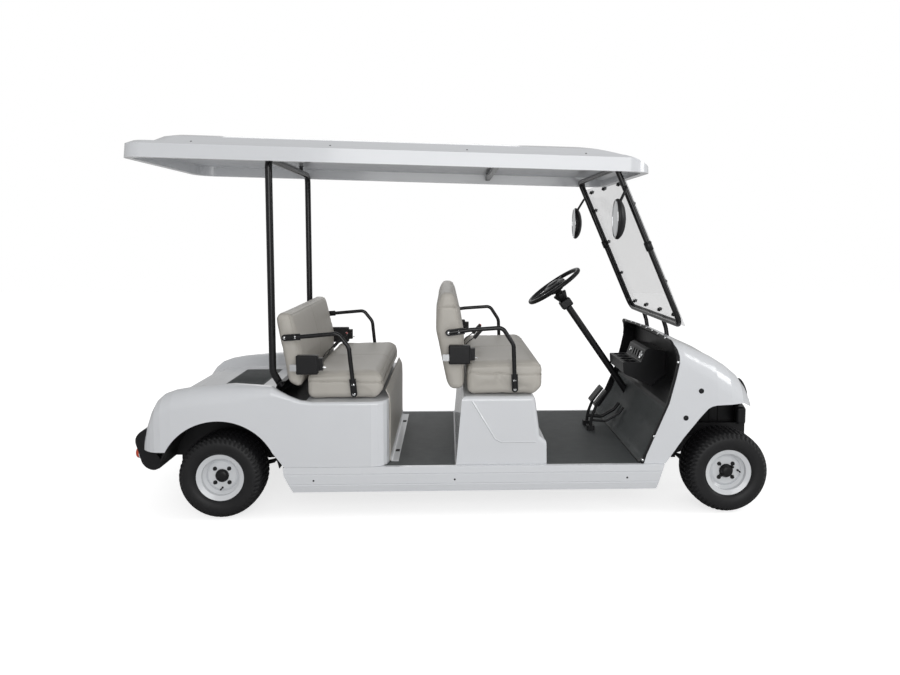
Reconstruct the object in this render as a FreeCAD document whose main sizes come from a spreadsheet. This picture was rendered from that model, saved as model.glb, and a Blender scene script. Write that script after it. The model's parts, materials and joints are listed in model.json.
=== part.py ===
import FreeCAD, Part
import Sketcher
import math
import os
import re
from types import SimpleNamespace
from FreeCAD import Placement, Rotation, Vector

# Four-seat open car with a moulded body, a hard roof on posts and steered front wheels.
# X runs forward, Y to the left, Z up. The origin is on the ground under the middle of the length.

doc = FreeCAD.newDocument("GolfCart")

# Driving dimensions in millimetres and degrees
SIZES = [
    ("wheel_base", 2620, "rear axle to front axle"),
    ("rear_overhang", 473, "rear axle to the back of the bumper"),
    ("front_overhang", 240, "front axle to the foremost point"),
    ("wheel_track", 984, "between the middles of the tyres"),
    ("tyre_radius", 216, "loaded radius of the tyres"),
    ("tyre_width", 212, "over the sidewalls"),
    ("tyre_facets", 44, "flats round the tyre, its ground contact one of them"),
    ("rim_lip_radius", 120, "outside of the rim's lips"),
    ("rim_seat_radius", 101, "where the tyre's beads sit"),
    ("rim_well_radius", 86, "bottom of the rim's well"),
    ("rim_width", 178, "over the rim's lips"),
    ("rim_gauge", 4, "sheet of the rim"),
    ("disc_offset", 50, "wheel disc's mounting face from the rim's middle"),
    ("lug_circle", 101.6, "circle of the wheel bolts"),
    ("lug_hole", 15, "holes in the wheel disc"),
    ("hub_radius", 76, "brake drum"),
    ("hub_bore", 34, "opening in the wheel disc"),
    ("spindle_radius", 15, "stub axle"),
    ("running_gap", 0.5, "turning pieces on their shafts"),
    ("kingpin_inset", 62, "tyre's middle to kingpin"),
    ("kingpin_radius", 9, "kingpin"),
    ("boss_height", 52, "axle beam's end round the kingpin"),
    ("beam_size", 40, "front axle beam, square"),
    ("knuckle_ear", 14, "forked ears of the knuckle"),
    ("steer_arm", 105, "kingpin back to the tie rod's eye"),
    ("steer_inset", 60, "kingpin inward to the tie rod's eye"),
    ("floor_height", 262, "top of the floor"),
    ("floor_gauge", 5, "floor sheet"),
    ("mat_gauge", 4, "ribbed rubber mat"),
    ("rail_height", 70, "chassis rail"),
    ("rail_width", 50, "chassis rail"),
    ("rail_spread", 500, "between the middles of the rails"),
    ("kick_height", 330, "underside of the rails over the axles"),
    ("body_half_width", 585, "outside of the moulded body"),
    ("body_wall", 6, "moulded body"),
    ("sill_height", 130, "side sill"),
    ("sill_depth", 22, "side sill"),
    ("seat_deck_height", 602, "top of the rear seat base"),
    ("pedestal_height", 620, "top of the front seat base"),
    ("seat_gap", 0.3, "pieces set down on their seats"),
    ("spring_reach", 190, "front axle to its springs' eyes"),
    ("rear_spring_reach", 280, "rear axle to its springs' eyes"),
    ("fender_height", 680, "crest of the rear fenders"),
    ("fender_roll", 92, "rounding along the rear fenders"),
    ("body_edge", 16, "rounding along the top edge beside the rear seat"),
    ("arch_radius", 305, "rear wheel arch"),
    ("tube_radius", 18, "roof posts"),
    ("post_spread", 1000, "between the rear posts"),
    ("roof_half_width", 575, "roof"),
    ("roof_skirt", 70, "height of the roof's edge"),
    ("roof_rear_height", 1826, "underside of the roof at its rear edge"),
    ("roof_fall", 60, "drop of the roof from rear to front"),
    ("visor_length", 480, "sloped front of the roof"),
    ("frame_radius", 14, "windscreen frame tube"),
    ("frame_half_width", 510, "windscreen frame"),
    ("screen_gauge", 5, "windscreen sheet"),
    ("seat_half_width", 538, "seats"),
    ("arm_radius", 11, "seat side rails"),
    ("wheel_rim_radius", 178, "steering wheel"),
    ("wheel_grip_radius", 13, "steering wheel's rim"),
    ("lip_width", 13, "rolled lip round the dash"),
    ("column_radius", 21, "steering column"),
    ("column_lean", 35, "steering column from the vertical, in degrees"),
]

sheet = doc.addObject("Spreadsheet::Sheet", "dims")
for row, (name, value, meaning) in enumerate(SIZES, 1):
    sheet.set(f"A{row}", meaning)
    sheet.set(f"B{row}", str(value))
    sheet.setAlias(f"B{row}", name)

# Places worked out from the driving dimensions
STATIONS = [
    ("rear_axle", "rear_overhang - (rear_overhang + wheel_base + front_overhang) / 2"),
    ("front_axle", "rear_overhang + wheel_base - (rear_overhang + wheel_base + front_overhang) / 2"),
    ("middle", "(rear_overhang - front_overhang) / 2"),
    ("floor_under", "floor_height - floor_gauge"),
    ("rail_under", "floor_height - floor_gauge - rail_height"),
    ("kingpin_spread", "wheel_track - 2 * kingpin_inset"),
    ("floor_half_width", "body_half_width - sill_depth - seat_gap"),
]
stations = doc.addObject("Spreadsheet::Sheet", "stations")
sheet_of = {name: "dims." for name, value, meaning in SIZES}


def formula(text):
    """A formula with each cell's sheet put before its name."""
    return re.sub(r"[a-z][a-z_]+", lambda word: sheet_of.get(word[0], "") + word[0], text)


for row, (name, text) in enumerate(STATIONS, 1):
    stations.set(f"A{row}", "=" + formula(text))
    stations.setAlias(f"A{row}", name)
sheet_of.update({name: "stations." for name, text in STATIONS})
doc.recompute()
size = SimpleNamespace()
for name, where in sheet_of.items():
    setattr(size, name, float({"dims.": sheet, "stations.": stations}[where].get(name)))

NODES = []


def node(piece, label):
    """Names a finished sub-part and keeps it for the export."""
    piece.Label = label
    NODES.append(piece)
    return piece


def bind(piece, cells):
    """Ties properties of an object to formulas of cells."""
    for prop, text in cells.items():
        piece.setExpression(prop, formula(str(text)))
    return piece


def place_cells(x, y, z):
    return {"Placement.Base.x": x, "Placement.Base.y": y, "Placement.Base.z": z}


def block(name, length, width, height, x, y, z):
    """A box from its lowest corner."""
    piece = doc.addObject("Part::Box", name)
    return bind(piece, {"Length": length, "Width": width, "Height": height, **place_cells(x, y, z)})


ALONG = {
    "x": Rotation(Vector(0, 1, 0), 90),
    "y": Rotation(Vector(1, 0, 0), -90),
    "z": Rotation(),
}


def rod(name, radius, length, x, y, z, along="z"):
    """A round bar from the middle of its first end."""
    piece = doc.addObject("Part::Cylinder", name)
    piece.Placement.Rotation = ALONG[along]
    return bind(piece, {"Radius": radius, "Height": length, **place_cells(x, y, z)})


def joined(name, pieces):
    piece = doc.addObject("Part::MultiFuse", name)
    piece.Shapes = pieces
    return piece


def group(name, pieces):
    piece = doc.addObject("Part::Compound", name)
    piece.Links = pieces
    return piece


def carved(name, base, tool):
    piece = doc.addObject("Part::Cut", name)
    piece.Base = base
    piece.Tool = tool
    return piece


def shared(name, base, tool):
    piece = doc.addObject("Part::MultiCommon", name)
    piece.Shapes = [base, tool]
    return piece


def shaped(label, shape):
    """A sub-part whose shape comes from Part's own functions and the sheet's sizes."""
    piece = doc.addObject("Part::Feature", label)
    piece.Shape = shape
    return node(piece, label)


def outline(body, name, role, points):
    """A closed sketch on one of the body's planes, each corner tied to formulas of cells."""
    sketch = body.newObject("Sketcher::SketchObject", name)
    plane = [item for item in body.Origin.OriginFeatures if item.Role == role][0]
    sketch.AttachmentSupport = [(plane, "")]
    sketch.MapMode = "FlatFace"
    count = len(points)
    spots = [Vector(100 * math.cos(2 * math.pi * i / count), 100 * math.sin(2 * math.pi * i / count), 0)
             for i in range(count)]
    for i in range(count):
        sketch.addGeometry(Part.LineSegment(spots[i], spots[(i + 1) % count]), False)
    for i in range(count):
        sketch.addConstraint(Sketcher.Constraint("Coincident", i, 2, (i + 1) % count, 1))
    for i, corner in enumerate(points):
        for kind, text, start in (("DistanceX", corner[0], spots[i].x), ("DistanceY", corner[1], spots[i].y)):
            index = sketch.addConstraint(Sketcher.Constraint(kind, -1, 1, i, 1, start))
            sketch.setExpression(f"Constraints[{index}]", formula(str(text)))
    return sketch


def padded(name, role, points, depth):
    """A body that is a sketch thickened to both sides of its plane."""
    body = doc.addObject("PartDesign::Body", name)
    sketch = outline(body, name + "_outline", role, points)
    pad = body.newObject("PartDesign::Pad", name + "_pad")
    pad.Profile = sketch
    pad.Midplane = True
    bind(pad, {"Length": depth})
    return body


def turned(name, points):
    """A body turned about its own Y axis from corners given as radius and place along it."""
    body = doc.addObject("PartDesign::Body", name)
    sketch = outline(body, name + "_outline", "XY_Plane", points)
    turn = body.newObject("PartDesign::Revolution", name + "_turn")
    turn.Profile = sketch
    turn.ReferenceAxis = (sketch, ["V_Axis"])
    turn.Angle = 360
    return body


def route(points, bends):
    """Straight runs through the points with tangent arcs of the given radii at the inner ones."""
    points = [Vector(*point) for point in points]
    edges = []
    last = points[0]
    for i in range(1, len(points) - 1):
        into = (points[i] - points[i - 1]).normalize()
        out = (points[i + 1] - points[i]).normalize()
        turn = into.getAngle(out)
        bend = bends[i - 1] if isinstance(bends, (list, tuple)) else bends
        reach = bend * math.tan(turn / 2)
        first = points[i] - into * reach
        second = points[i] + out * reach
        centre_way = (out - into).normalize()
        middle = points[i] + centre_way * (bend / math.cos(turn / 2) - bend)
        if (first - last).Length > 0.01:
            edges.append(Part.LineSegment(last, first).toShape())
        edges.append(Part.Arc(first, middle, second).toShape())
        last = second
    edges.append(Part.LineSegment(last, points[-1]).toShape())
    return Part.Wire(edges)


def tube(points, radius, bends=40):
    """A round bar bent along a route."""
    path = route(points, bends)
    start = Vector(*points[0])
    way = (Vector(*points[1]) - start).normalize()
    ring = Part.Wire([Part.Circle(start, way, radius).toShape()])
    return path.makePipeShell([ring], True, False)


def both_sides(shape):
    """A shape and its mirror image across the middle of the car."""
    return [shape, shape.mirror(Vector(), Vector(0, 1, 0))]


def slab(points, low, high):
    """A prism across the car from a side view outline, from Y low to Y high."""
    wire = Part.makePolygon([Vector(x, low, z) for x, z in points + points[:1]])
    return Part.Face(wire).extrude(Vector(0, high - low, 0))


def rounded(shape, radius, wanted):
    """Fillets the edges that the test picks."""
    edges = [edge for edge in shape.Edges if wanted(edge)]
    return shape.makeFillet(radius, edges)


def wheel_rim(name, side):
    """White steel wheel: lips, bead seats, well and a dished disc with four bolt holes."""
    half, seat, well, gauge = "rim_width / 2", "rim_seat_radius", "rim_well_radius", "rim_gauge"
    face = "disc_offset"
    profile = [
        ("rim_lip_radius", half), ("rim_lip_radius", f"{half} - {gauge}"),
        (seat, f"{half} - 11"), (seat, f"{half} - 29"), (well, f"{half} - 41"),
        (well, f"41 - {half}"), (seat, f"29 - {half}"), (seat, f"11 - {half}"),
        ("rim_lip_radius", f"{gauge} - {half}"), ("rim_lip_radius", f"-{half}"),
        (f"{seat} - {gauge}", f"9 - {half}"), (f"{seat} - {gauge}", f"31 - {half}"),
        (f"{well} - {gauge}", f"43 - {half}"), (f"{well} - {gauge}", f"{face} - 9 - {gauge}"),
        (f"{well} - 18", f"{face} - {gauge}"), ("hub_bore", f"{face} - {gauge}"),
        ("hub_bore", face), (f"{well} - 16", face), (f"{well} - {gauge}", f"{face} - 9"),
        (f"{well} - {gauge}", f"{half} - 43"), (f"{seat} - {gauge}", f"{half} - 31"),
        (f"{seat} - {gauge}", f"{half} - 9"),
    ]
    body = turned(name, [(radius, f"{side} * ({along})") for radius, along in profile])
    holes = body.newObject("Sketcher::SketchObject", name + "_hole")
    plane = [item for item in body.Origin.OriginFeatures if item.Role == "XZ_Plane"][0]
    holes.AttachmentSupport = [(plane, "")]
    holes.MapMode = "FlatFace"
    holes.addGeometry(Part.Circle(Vector(40, 40, 0), Vector(0, 0, 1), 5), False)
    reach = "lug_circle / 2 * cos(45)"
    for kind, text in (("DistanceX", reach), ("DistanceY", reach)):
        index = holes.addConstraint(Sketcher.Constraint(kind, -1, 1, 0, 3, 40))
        holes.setExpression(f"Constraints[{index}]", formula(text))
    index = holes.addConstraint(Sketcher.Constraint("Radius", 0, 5))
    holes.setExpression(f"Constraints[{index}]", formula("lug_hole / 2"))
    doc.recompute()
    pocket = body.newObject("PartDesign::Pocket", name + "_pocket")
    pocket.Profile = holes
    pocket.Midplane = True
    pocket.Type = "ThroughAll"
    pattern = body.newObject("PartDesign::PolarPattern", name + "_pattern")
    pattern.Originals = [pocket]
    pattern.Axis = (holes, ["N_Axis"])
    pattern.Angle = 360
    pattern.Occurrences = 4
    body.Tip = pattern
    return body


def faceted_ring(profile, sides):
    """A solid of flat faces round the Y axis, from corners as radius to its flats and place along it."""
    rings = []
    for radius, along in profile:
        reach = radius / math.cos(math.pi / sides)
        angles = [2 * math.pi * (step + 0.5) / sides for step in range(sides)]
        rings.append([Vector(reach * math.cos(angle), along, reach * math.sin(angle)) for angle in angles])
    faces = []
    for near, far in zip(rings, rings[1:] + rings[:1]):
        for i in range(sides):
            j = (i + 1) % sides
            faces.append(Part.Face(Part.makePolygon([near[i], near[j], far[j], far[i], near[i]])))
    solid = Part.Solid(Part.Shell(faces))
    if solid.Volume < 0:
        solid.reverse()
    return solid


def tyre(label):
    """Low-pressure tyre with rounded shoulders, seated on the rim, flat where it meets the ground."""
    half, radius, lip = size.tyre_width / 2, size.tyre_radius, size.rim_width / 2
    bead = size.rim_lip_radius + 1
    right = [(size.rim_seat_radius + size.seat_gap, lip - 12), (bead, lip - size.rim_gauge - 0.5),
             (bead + 23, half), (radius - 34, half - 2), (radius - 10, half - 14), (radius, half - 36)]
    ring = faceted_ring(right + [(reach, -along) for reach, along in reversed(right)], int(size.tyre_facets))
    return shaped(label, ring)


def hub(name, side, driven):
    """Brake drum with the wheel's mounting face and a centre cap, bored for the stub axle."""
    bore = "spindle_radius + running_gap"
    face = "disc_offset - rim_gauge"
    cap = 44 if driven else 62
    profile = [
        (bore, "-24"), ("hub_radius - 12", "-24"), ("hub_radius - 12", "16"),
        ("hub_radius - 20", f"{face} - 8"), ("hub_radius - 14", f"{face} - 8"),
        ("hub_radius - 14", face), ("hub_bore - 1", face), ("hub_bore - 1", f"{face} + 10"),
        ("hub_bore - 6", f"{face} + {cap - 34}"), ("hub_bore - 12", f"{face} + {cap - 30}"),
        ("0", f"{face} + {cap - 30}"), ("0", f"{face} - 4"), (bore, f"{face} - 4"),
    ]
    return turned(name, [(radius, f"{side} * ({along})") for radius, along in profile])


for end in ("front", "rear"):
    for hand, side in (("left", 1), ("right", -1)):
        where = place_cells(f"{end}_axle", f"{side} * wheel_track / 2", "tyre_radius")
        bind(tyre(f"tyre_{end}_{hand}"), where)
        label = f"rim_{end}_{hand}"
        node(bind(wheel_rim(label, side), where), label)
        label = f"hub_{end}_{hand}"
        node(bind(hub(label, side, end == "rear"), where), label)

# Front axle beam with a bored boss at each end, and the forked knuckles that turn on its kingpins
bars = [block("beam_bar", "beam_size", "kingpin_spread", "beam_size", "front_axle - beam_size / 2",
              "-kingpin_spread / 2", "tyre_radius - beam_size / 2")]
bores = []
for side in (1, -1):
    pin_y = f"{side} * kingpin_spread / 2"
    bars.append(rod(f"boss_{side}", "kingpin_radius + 10", "boss_height", "front_axle", pin_y,
                    "tyre_radius - boss_height / 2"))
    bores.append(rod(f"boss_bore_{side}", "kingpin_radius + running_gap", "boss_height + 2", "front_axle",
                     pin_y, "tyre_radius - boss_height / 2 - 1"))
node(carved("beam_bored", joined("beam_solid", bars), joined("beam_bores", bores)), "front_axle")

fork = "(boss_height / 2 + running_gap + knuckle_ear)"
for hand, side in (("left", 1), ("right", -1)):
    pin_y = f"{side} * kingpin_spread / 2"
    out_y = f"({pin_y} + {side} * 31)"
    ears = []
    for level, base in (("low", f"tyre_radius - {fork}"), ("high", f"tyre_radius + {fork} - knuckle_ear")):
        ears.append(rod(f"ear_{level}_{hand}", "kingpin_radius + 9", "knuckle_ear", "front_axle", pin_y,
                        base))
        ears.append(block(f"web_{level}_{hand}", 36, 38, "knuckle_ear", "front_axle - 18",
                          f"{pin_y} + {side} * 19 - 19", base))
    ears.append(rod(f"kingpin_{hand}", "kingpin_radius", f"2 * {fork} + 8", "front_axle", pin_y,
                    f"tyre_radius - {fork} - 4"))
    ears.append(block(f"plate_{hand}", 36, 14, f"2 * {fork}", "front_axle - 18", f"{out_y} - 7",
                      f"tyre_radius - {fork}"))
    start = out_y if side > 0 else f"({out_y} - kingpin_inset + 6)"
    ears.append(rod(f"spindle_{hand}", "spindle_radius", "kingpin_inset - 6", "front_axle", start,
                    "tyre_radius", along="y"))
    eye_y = f"({pin_y} - {side} * steer_inset)"
    low = f"tyre_radius - {fork}"
    ears.append(block(f"arm_{hand}", 24, "steer_inset + 8", "knuckle_ear", "front_axle - 12",
                      f"({pin_y} + {eye_y}) / 2 - {side} * 4 - steer_inset / 2 - 4", low))
    ears.append(block(f"lever_{hand}", "steer_arm", 16, "knuckle_ear", "front_axle - steer_arm",
                      f"{eye_y} - 8", low))
    ears.append(rod(f"eye_{hand}", 16, "knuckle_ear", "front_axle - steer_arm", eye_y, low))
    eye_bore = rod(f"eye_bore_{hand}", "6 + running_gap", "knuckle_ear + 2", "front_axle - steer_arm", eye_y,
                   f"{low} - 1")
    node(carved(f"knuckle_cut_{hand}", joined(f"knuckle_solid_{hand}", ears), eye_bore), f"knuckle_{hand}")

# Tie rod under the steering arms, with its stud up through the left arm's eye
rod_y = "(kingpin_spread / 2 - steer_inset)"
rod_z = f"(tyre_radius - {fork} - 22)"
bar = rod("tie_bar", 9, f"2 * {rod_y}", "front_axle - steer_arm", f"-{rod_y}", rod_z, along="y")
bosses = [rod(f"tie_boss_{side}", 13, 26, "front_axle - steer_arm", f"{side} * {rod_y}", f"{rod_z} - 10")
          for side in (1, -1)]
stud = rod("tie_stud", 6, 44, "front_axle - steer_arm", rod_y, rod_z)
node(joined("tie_rod_solid", [bar, stud] + bosses), "tie_rod")

# Rear axle tube with its differential, and the motor in line ahead of it
stub_y = "(wheel_track / 2 + 30)"
casing_y = "(wheel_track / 2 - 40)"
casing = rod("axle_casing", 34, f"2 * {casing_y}", "rear_axle", f"-{casing_y}", "tyre_radius", along="y")
shaft = rod("axle_shaft", "spindle_radius", f"2 * {stub_y}", "rear_axle", f"-{stub_y}", "tyre_radius",
            along="y")
differential = doc.addObject("Part::Sphere", "differential")
bind(differential, {"Radius": 88, **place_cells("rear_axle", "60", "tyre_radius")})
node(joined("rear_axle_solid", [casing, shaft, differential]), "rear_axle")
node(rod("motor_case", 95, 300, "rear_axle + 88.3", "60", "tyre_radius + 10", along="x"), "drive_motor")

# Chassis rails with their rise over each axle, joined by cross members
rail_top = "(rail_under + rail_height)"
kick_top = "(kick_height + rail_height)"
rail_line = [
    ("rear_axle - 370", "kick_height"), ("rear_axle + 330", "kick_height"), ("rear_axle + 450", "rail_under"),
    ("front_axle - 360", "rail_under"), ("front_axle - 240", "kick_height"),
    ("front_axle + spring_reach + 18", "kick_height"), ("front_axle + spring_reach + 18", kick_top),
    ("front_axle - 256", kick_top), ("front_axle - 380", rail_top), ("rear_axle + 480", rail_top),
    ("rear_axle + 360", kick_top), ("rear_axle - 370", kick_top),
]
rails = []
for side in (1, -1):
    rail = padded(f"rail_{side}", "XZ_Plane", rail_line, "rail_width")
    rails.append(bind(rail, place_cells("0", f"{side} * rail_spread / 2", "0")))
for end, reach, eye in (("front_axle", "spring_reach", "tyre_radius + 3"),
                        ("rear_axle", "rear_spring_reach", "tyre_radius + 13")):
    for way in (1, -1):
        for side in (1, -1):
            for cheek in (1, -1):
                x = f"{end} + {way} * ({reach} + 6) - 12"
                y = f"{side} * rail_spread / 2 + {cheek} * 25.3 - 3"
                z = f"{eye} - 14"
                rails.append(block(f"hanger_{len(rails)}", 24, 6, f"kick_height + 4 - ({z})", x, y, z))
node(joined("rails_solid", rails), "chassis_rails")

# Cross members between the rails, and outriggers from the rails to the sides of the floor
between = "(rail_spread - rail_width)"
beyond = "(rail_spread + rail_width) / 2"
cross_at = [("rear_axle - 325", "kick_height + 10", 50), ("rear_axle + 220", "kick_height + 10", 50),
            ("rear_axle + 560", "rail_under", 50), ("middle - 130", "rail_under", 50),
            ("middle + 350", "rail_under", 50), ("front_axle - 440", "rail_under", 50),
            ("front_axle + 110", "kick_height + 10", 50), ("rear_axle + 700", "floor_under - 30", 30),
            ("middle + 60", "floor_under - 30", 30), ("front_axle - 500", "floor_under - 30", 30)]
members = []
for number, (x, z, depth) in enumerate(cross_at):
    members.append(block(f"cross_{number}", 40, between, depth, x, f"-{between} / 2", z))
    if depth < 50:
        for hand, start in (("left", beyond), ("right", "10 - floor_half_width")):
            members.append(block(f"outrigger_{number}_{hand}", 40, f"floor_half_width - 10 - {beyond}", depth,
                                 x, start, z))
node(group("member_set", members), "cross_members")


def leaf_spring(x, y, seat, rise, reach):
    """Stack of three leaves bowed upward at its ends, rolled into eyes."""
    leaves = []
    for number, share in enumerate((1.0, 0.72, 0.45)):
        low = seat - 7 * number
        half = reach * share
        lift = rise * share * share
        arc = Part.Arc(Vector(x - half, 0, low + lift), Vector(x, 0, low), Vector(x + half, 0, low + lift))
        under = arc.copy()
        under.translate(Vector(0, 0, -6.6))
        ends = [Part.LineSegment(arc.EndPoint, under.EndPoint).toShape(),
                Part.LineSegment(under.StartPoint, arc.StartPoint).toShape()]
        face = Part.Face(Part.Wire(Part.__sortEdges__([arc.toShape(), under.toShape()] + ends)))
        face.translate(Vector(0, y - 22, 0))
        leaves.append(face.extrude(Vector(0, 44, 0)))
    clamp = Part.makeBox(70, 60, 21.5, Vector(x - 35, y - 30, seat - 21.5))
    solid = leaves[0].multiFuse(leaves[1:] + [clamp])
    for way in (1, -1):
        start = Vector(x + way * (reach + 6), y - 22, seat + rise - 3)
        eye = Part.makeCylinder(14, 44, start, Vector(0, 1, 0))
        solid = solid.fuse(eye)
    return solid


springs = []
for y in (-size.rail_spread / 2, size.rail_spread / 2):
    under_beam = size.tyre_radius - size.beam_size / 2 - size.seat_gap
    springs.append(leaf_spring(size.front_axle, y, under_beam, 27, size.spring_reach))
    springs.append(leaf_spring(size.rear_axle, y, size.tyre_radius - 34.3, 50, size.rear_spring_reach))
shaped("leaf_springs", Part.makeCompound(springs))

# Floor, mats and the battery pack under the front seat
node(block("floor_sheet", "front_axle - middle - 382 + 560", "2 * floor_half_width", "floor_gauge",
           "middle - 560", "-floor_half_width", "floor_under"), "floor_deck")
mats = [
    block("mat_front", "front_axle - 450 - middle - 362", "2 * floor_half_width - 8", "mat_gauge",
          "middle + 362", "4 - floor_half_width", "floor_height"),
    block("mat_rear", "360", "2 * floor_half_width - 8", "mat_gauge",
          "middle - 478", "4 - floor_half_width", "floor_height"),
]
node(group("mat_pair", mats), "floor_mats")
node(block("battery_block", 330, 860, 270, "middle - 60", -430, "floor_height"), "battery_pack")

# Side sills with two grooves pressed along them
sill_line = [
    ("body_half_width - sill_depth", "floor_height + 4"), ("body_half_width", "floor_height + 4"),
    ("body_half_width + 3", "floor_height - 30"), ("body_half_width", "floor_height - 34"),
    ("body_half_width + 3", "floor_height - 38"), ("body_half_width + 3", "floor_height - 82"),
    ("body_half_width", "floor_height - 86"), ("body_half_width + 3", "floor_height - 90"),
    ("body_half_width - 3", "floor_height + 4 - sill_height"),
    ("body_half_width - sill_depth", "floor_height + 4 - sill_height"),
]
sills = []
for hand, side in (("left", 1), ("right", -1)):
    line = [(f"{side} * ({across})", up) for across, up in sill_line]
    sills.append(padded(f"sill_{hand}", "YZ_Plane", line, "2 * wheel_base"))
sill_side = padded("sill_side", "XZ_Plane", [
    ("middle - wheel_base / 2 + 317", "floor_height + 5"),
    ("middle + wheel_base / 2 - 338", "floor_height + 5"),
    ("middle + wheel_base / 2 - 380", "floor_height + 3 - sill_height"),
    ("middle - wheel_base / 2 + 367", "floor_height + 3 - sill_height"),
    ("middle - wheel_base / 2 + 322", "floor_height - 40")], "2 * body_half_width + 20")
node(shared("sills_cut", group("sill_pair", sills), sill_side), "side_sills")


def quarter(corner, way_in, way_out, bend):
    """Bezier poles of a rounded corner between two directions, a bend away from it on each."""
    pull = 0.448
    (y, z), (into_y, into_z), (out_y, out_z) = corner, way_in, way_out
    return [(y - into_y * bend, z - into_z * bend), (y - into_y * bend * pull, z - into_z * bend * pull),
            (y + out_y * bend * pull, z + out_z * bend * pull), (y + out_y * bend, z + out_z * bend)]


def arched(x, curves, low):
    """A cross-section from the curves of its left half, mirrored, joined by straight runs."""
    curves = curves + [[(-y, z) for y, z in reversed(poles)] for poles in reversed(curves)]
    last = (curves[0][0][0], low)
    edges = []
    for poles in curves:
        edges.append(Part.LineSegment(Vector(x, *last), Vector(x, *poles[0])).toShape())
        bend = Part.BezierCurve()
        bend.setPoles([Vector(x, y, z) for y, z in poles])
        edges.append(bend.toShape())
        last = poles[-1]
    edges.append(Part.LineSegment(Vector(x, *last), Vector(x, last[0], low)).toShape())
    edges.append(Part.LineSegment(Vector(x, last[0], low), Vector(x, -last[0], low)).toShape())
    return Part.Wire(edges)


def body_section(x, half, crest, deck, bend, low, inset):
    """Cross-section of the rear body: upright sides, a crest over each wheel and the deck between."""
    shoulder = quarter((half, crest), (0, 1), (-1, 0), bend - inset)
    inner, step = half - bend - 10 + 2 * inset, 0.65 * bend
    valley = [(inner, crest), (inner - step, crest), (inner - step, deck), (inner - 2 * step, deck)]
    return arched(x, [shoulder, valley], low)


def body_mass(inset):
    """Solid rear body, drawn in by an inset: seat base, rising fenders and a rounded tail."""
    base, deck = size.middle, size.seat_deck_height
    full, fender = size.body_half_width, size.fender_height
    low = size.floor_height + 5 - (60 if inset > 0 else 0)
    tail = size.rear_axle
    edge, roll = size.body_edge, size.fender_roll
    front = base - 460 - inset
    stages = [
        (front, full - 82, deck, deck, edge), (front - 8, full - 48, deck, deck, edge),
        (front - 24, full - 24, deck, deck, edge), (base - 510, full - 8, deck, deck, edge),
        (base - 545, full, deck, deck, edge), (tail + 465, full, deck, deck, edge),
        (tail + 405, full, deck + 9, deck, edge), (tail + 350, full, deck + 30, deck, edge + 4),
        (tail + 300, full, fender - 24, deck, edge + 14), (tail + 262, full, fender - 2, deck + 2, edge + 30),
        (tail + 180, full, fender + 2, deck + 4, roll - 30), (tail + 60, full, fender + 3, deck + 4, roll),
        (tail - 60, full, fender - 6, deck + 4, roll), (tail - 160, full - 2, fender - 16, deck + 3, roll),
        (tail - 240, full - 5, fender - 30, deck, roll),
        (tail - 295, full - 11, fender - 50, deck - 12, roll),
        (tail - 330, full - 21, fender - 80, deck - 38, roll),
        (tail - 356, full - 36, fender - 122, deck - 80, roll),
        (tail - 380, full - 55, fender - 175, deck - 130, roll),
        (tail - 399, full - 74, fender - 226, deck - 180, roll),
        (tail - 412 + inset, full - 92, fender - 285, deck - 235, roll),
    ]
    wires = [body_section(x, half - inset, crest - inset, ground - inset, bend, low, inset)
             for x, half, crest, ground, bend in stages]
    return Part.makeLoft(wires, True, True)


def rear_body():
    """Moulded rear body with its wheel arches, and notches where the rails leave it."""
    axle = size.rear_axle
    shell = body_mass(0).cut(body_mass(size.body_wall))
    start = Vector(axle - 5, -700, size.tyre_radius - 12)
    arch = Part.makeCylinder(size.arch_radius, 1400, start, Vector(0, 1, 0))
    tail = slab([(axle - 600, 0), (axle - 250, 0), (axle - 250, 349), (axle - 360, 343), (axle - 600, 343)],
                -700, 700)
    centre = size.tyre_radius - 12
    flare = slab([(axle - 5, 100), (axle - 5, centre), (axle + 252, centre + 158), (axle + 324, 268),
                  (axle + 324, 100)], -700, 700)
    return shell.cut(arch).cut(flare).cut(tail)


shaped("rear_body", rear_body())


def cowl_section(x, half, top, bend, low):
    """Cross-section of the nose: upright sides, rounded shoulders and a slightly crowned top."""
    crown = 10
    shoulder = quarter((half, top - crown), (0, 1), (-1, 0), bend)
    camber = [(half - bend - 10, top - crown), ((half - bend) * 0.7, top - crown),
              ((half - bend) * 0.5, top), ((half - bend) * 0.3, top)]
    return arched(x, [shoulder, camber], low)


def cowl_mass(inset):
    """Solid nose, drawn in by an inset, lofted through rounded cross-sections."""
    full = size.body_half_width - 15
    stages = [
        (-470, full, 912, 95), (-295, full, 912, 100), (-240, full, 898, 110), (-160, full, 860, 125),
        (-66, full, 818, 140), (14, full - 8, 770, 150), (86, full - 34, 714, 150),
        (140, full - 80, 656, 145), (176, full - 135, 606, 130), (196, full - 190, 556, 110),
        (203, full - 215, 530, 100),
    ]
    low = size.floor_height - (60 if inset > 0 else 0)
    wires = []
    for x, half, top, bend in stages:
        back = inset if x == stages[-1][0] else 0
        wires.append(cowl_section(size.front_axle + x - back, half - inset, top - inset, bend, low))
    return Part.makeLoft(wires, True, True)


COWL_EDGE = [(-446, 262), (-432, 310), (-318, 581), (-285, 713), (-269, 790), (-269, 830), (-276, 862),
             (-288, 885), (-292, 930)]


def lamp(y, radius):
    return Part.makeCylinder(radius, 90, Vector(size.front_axle + 110, y, 565), Vector(1, 0, 0.3))


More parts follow.
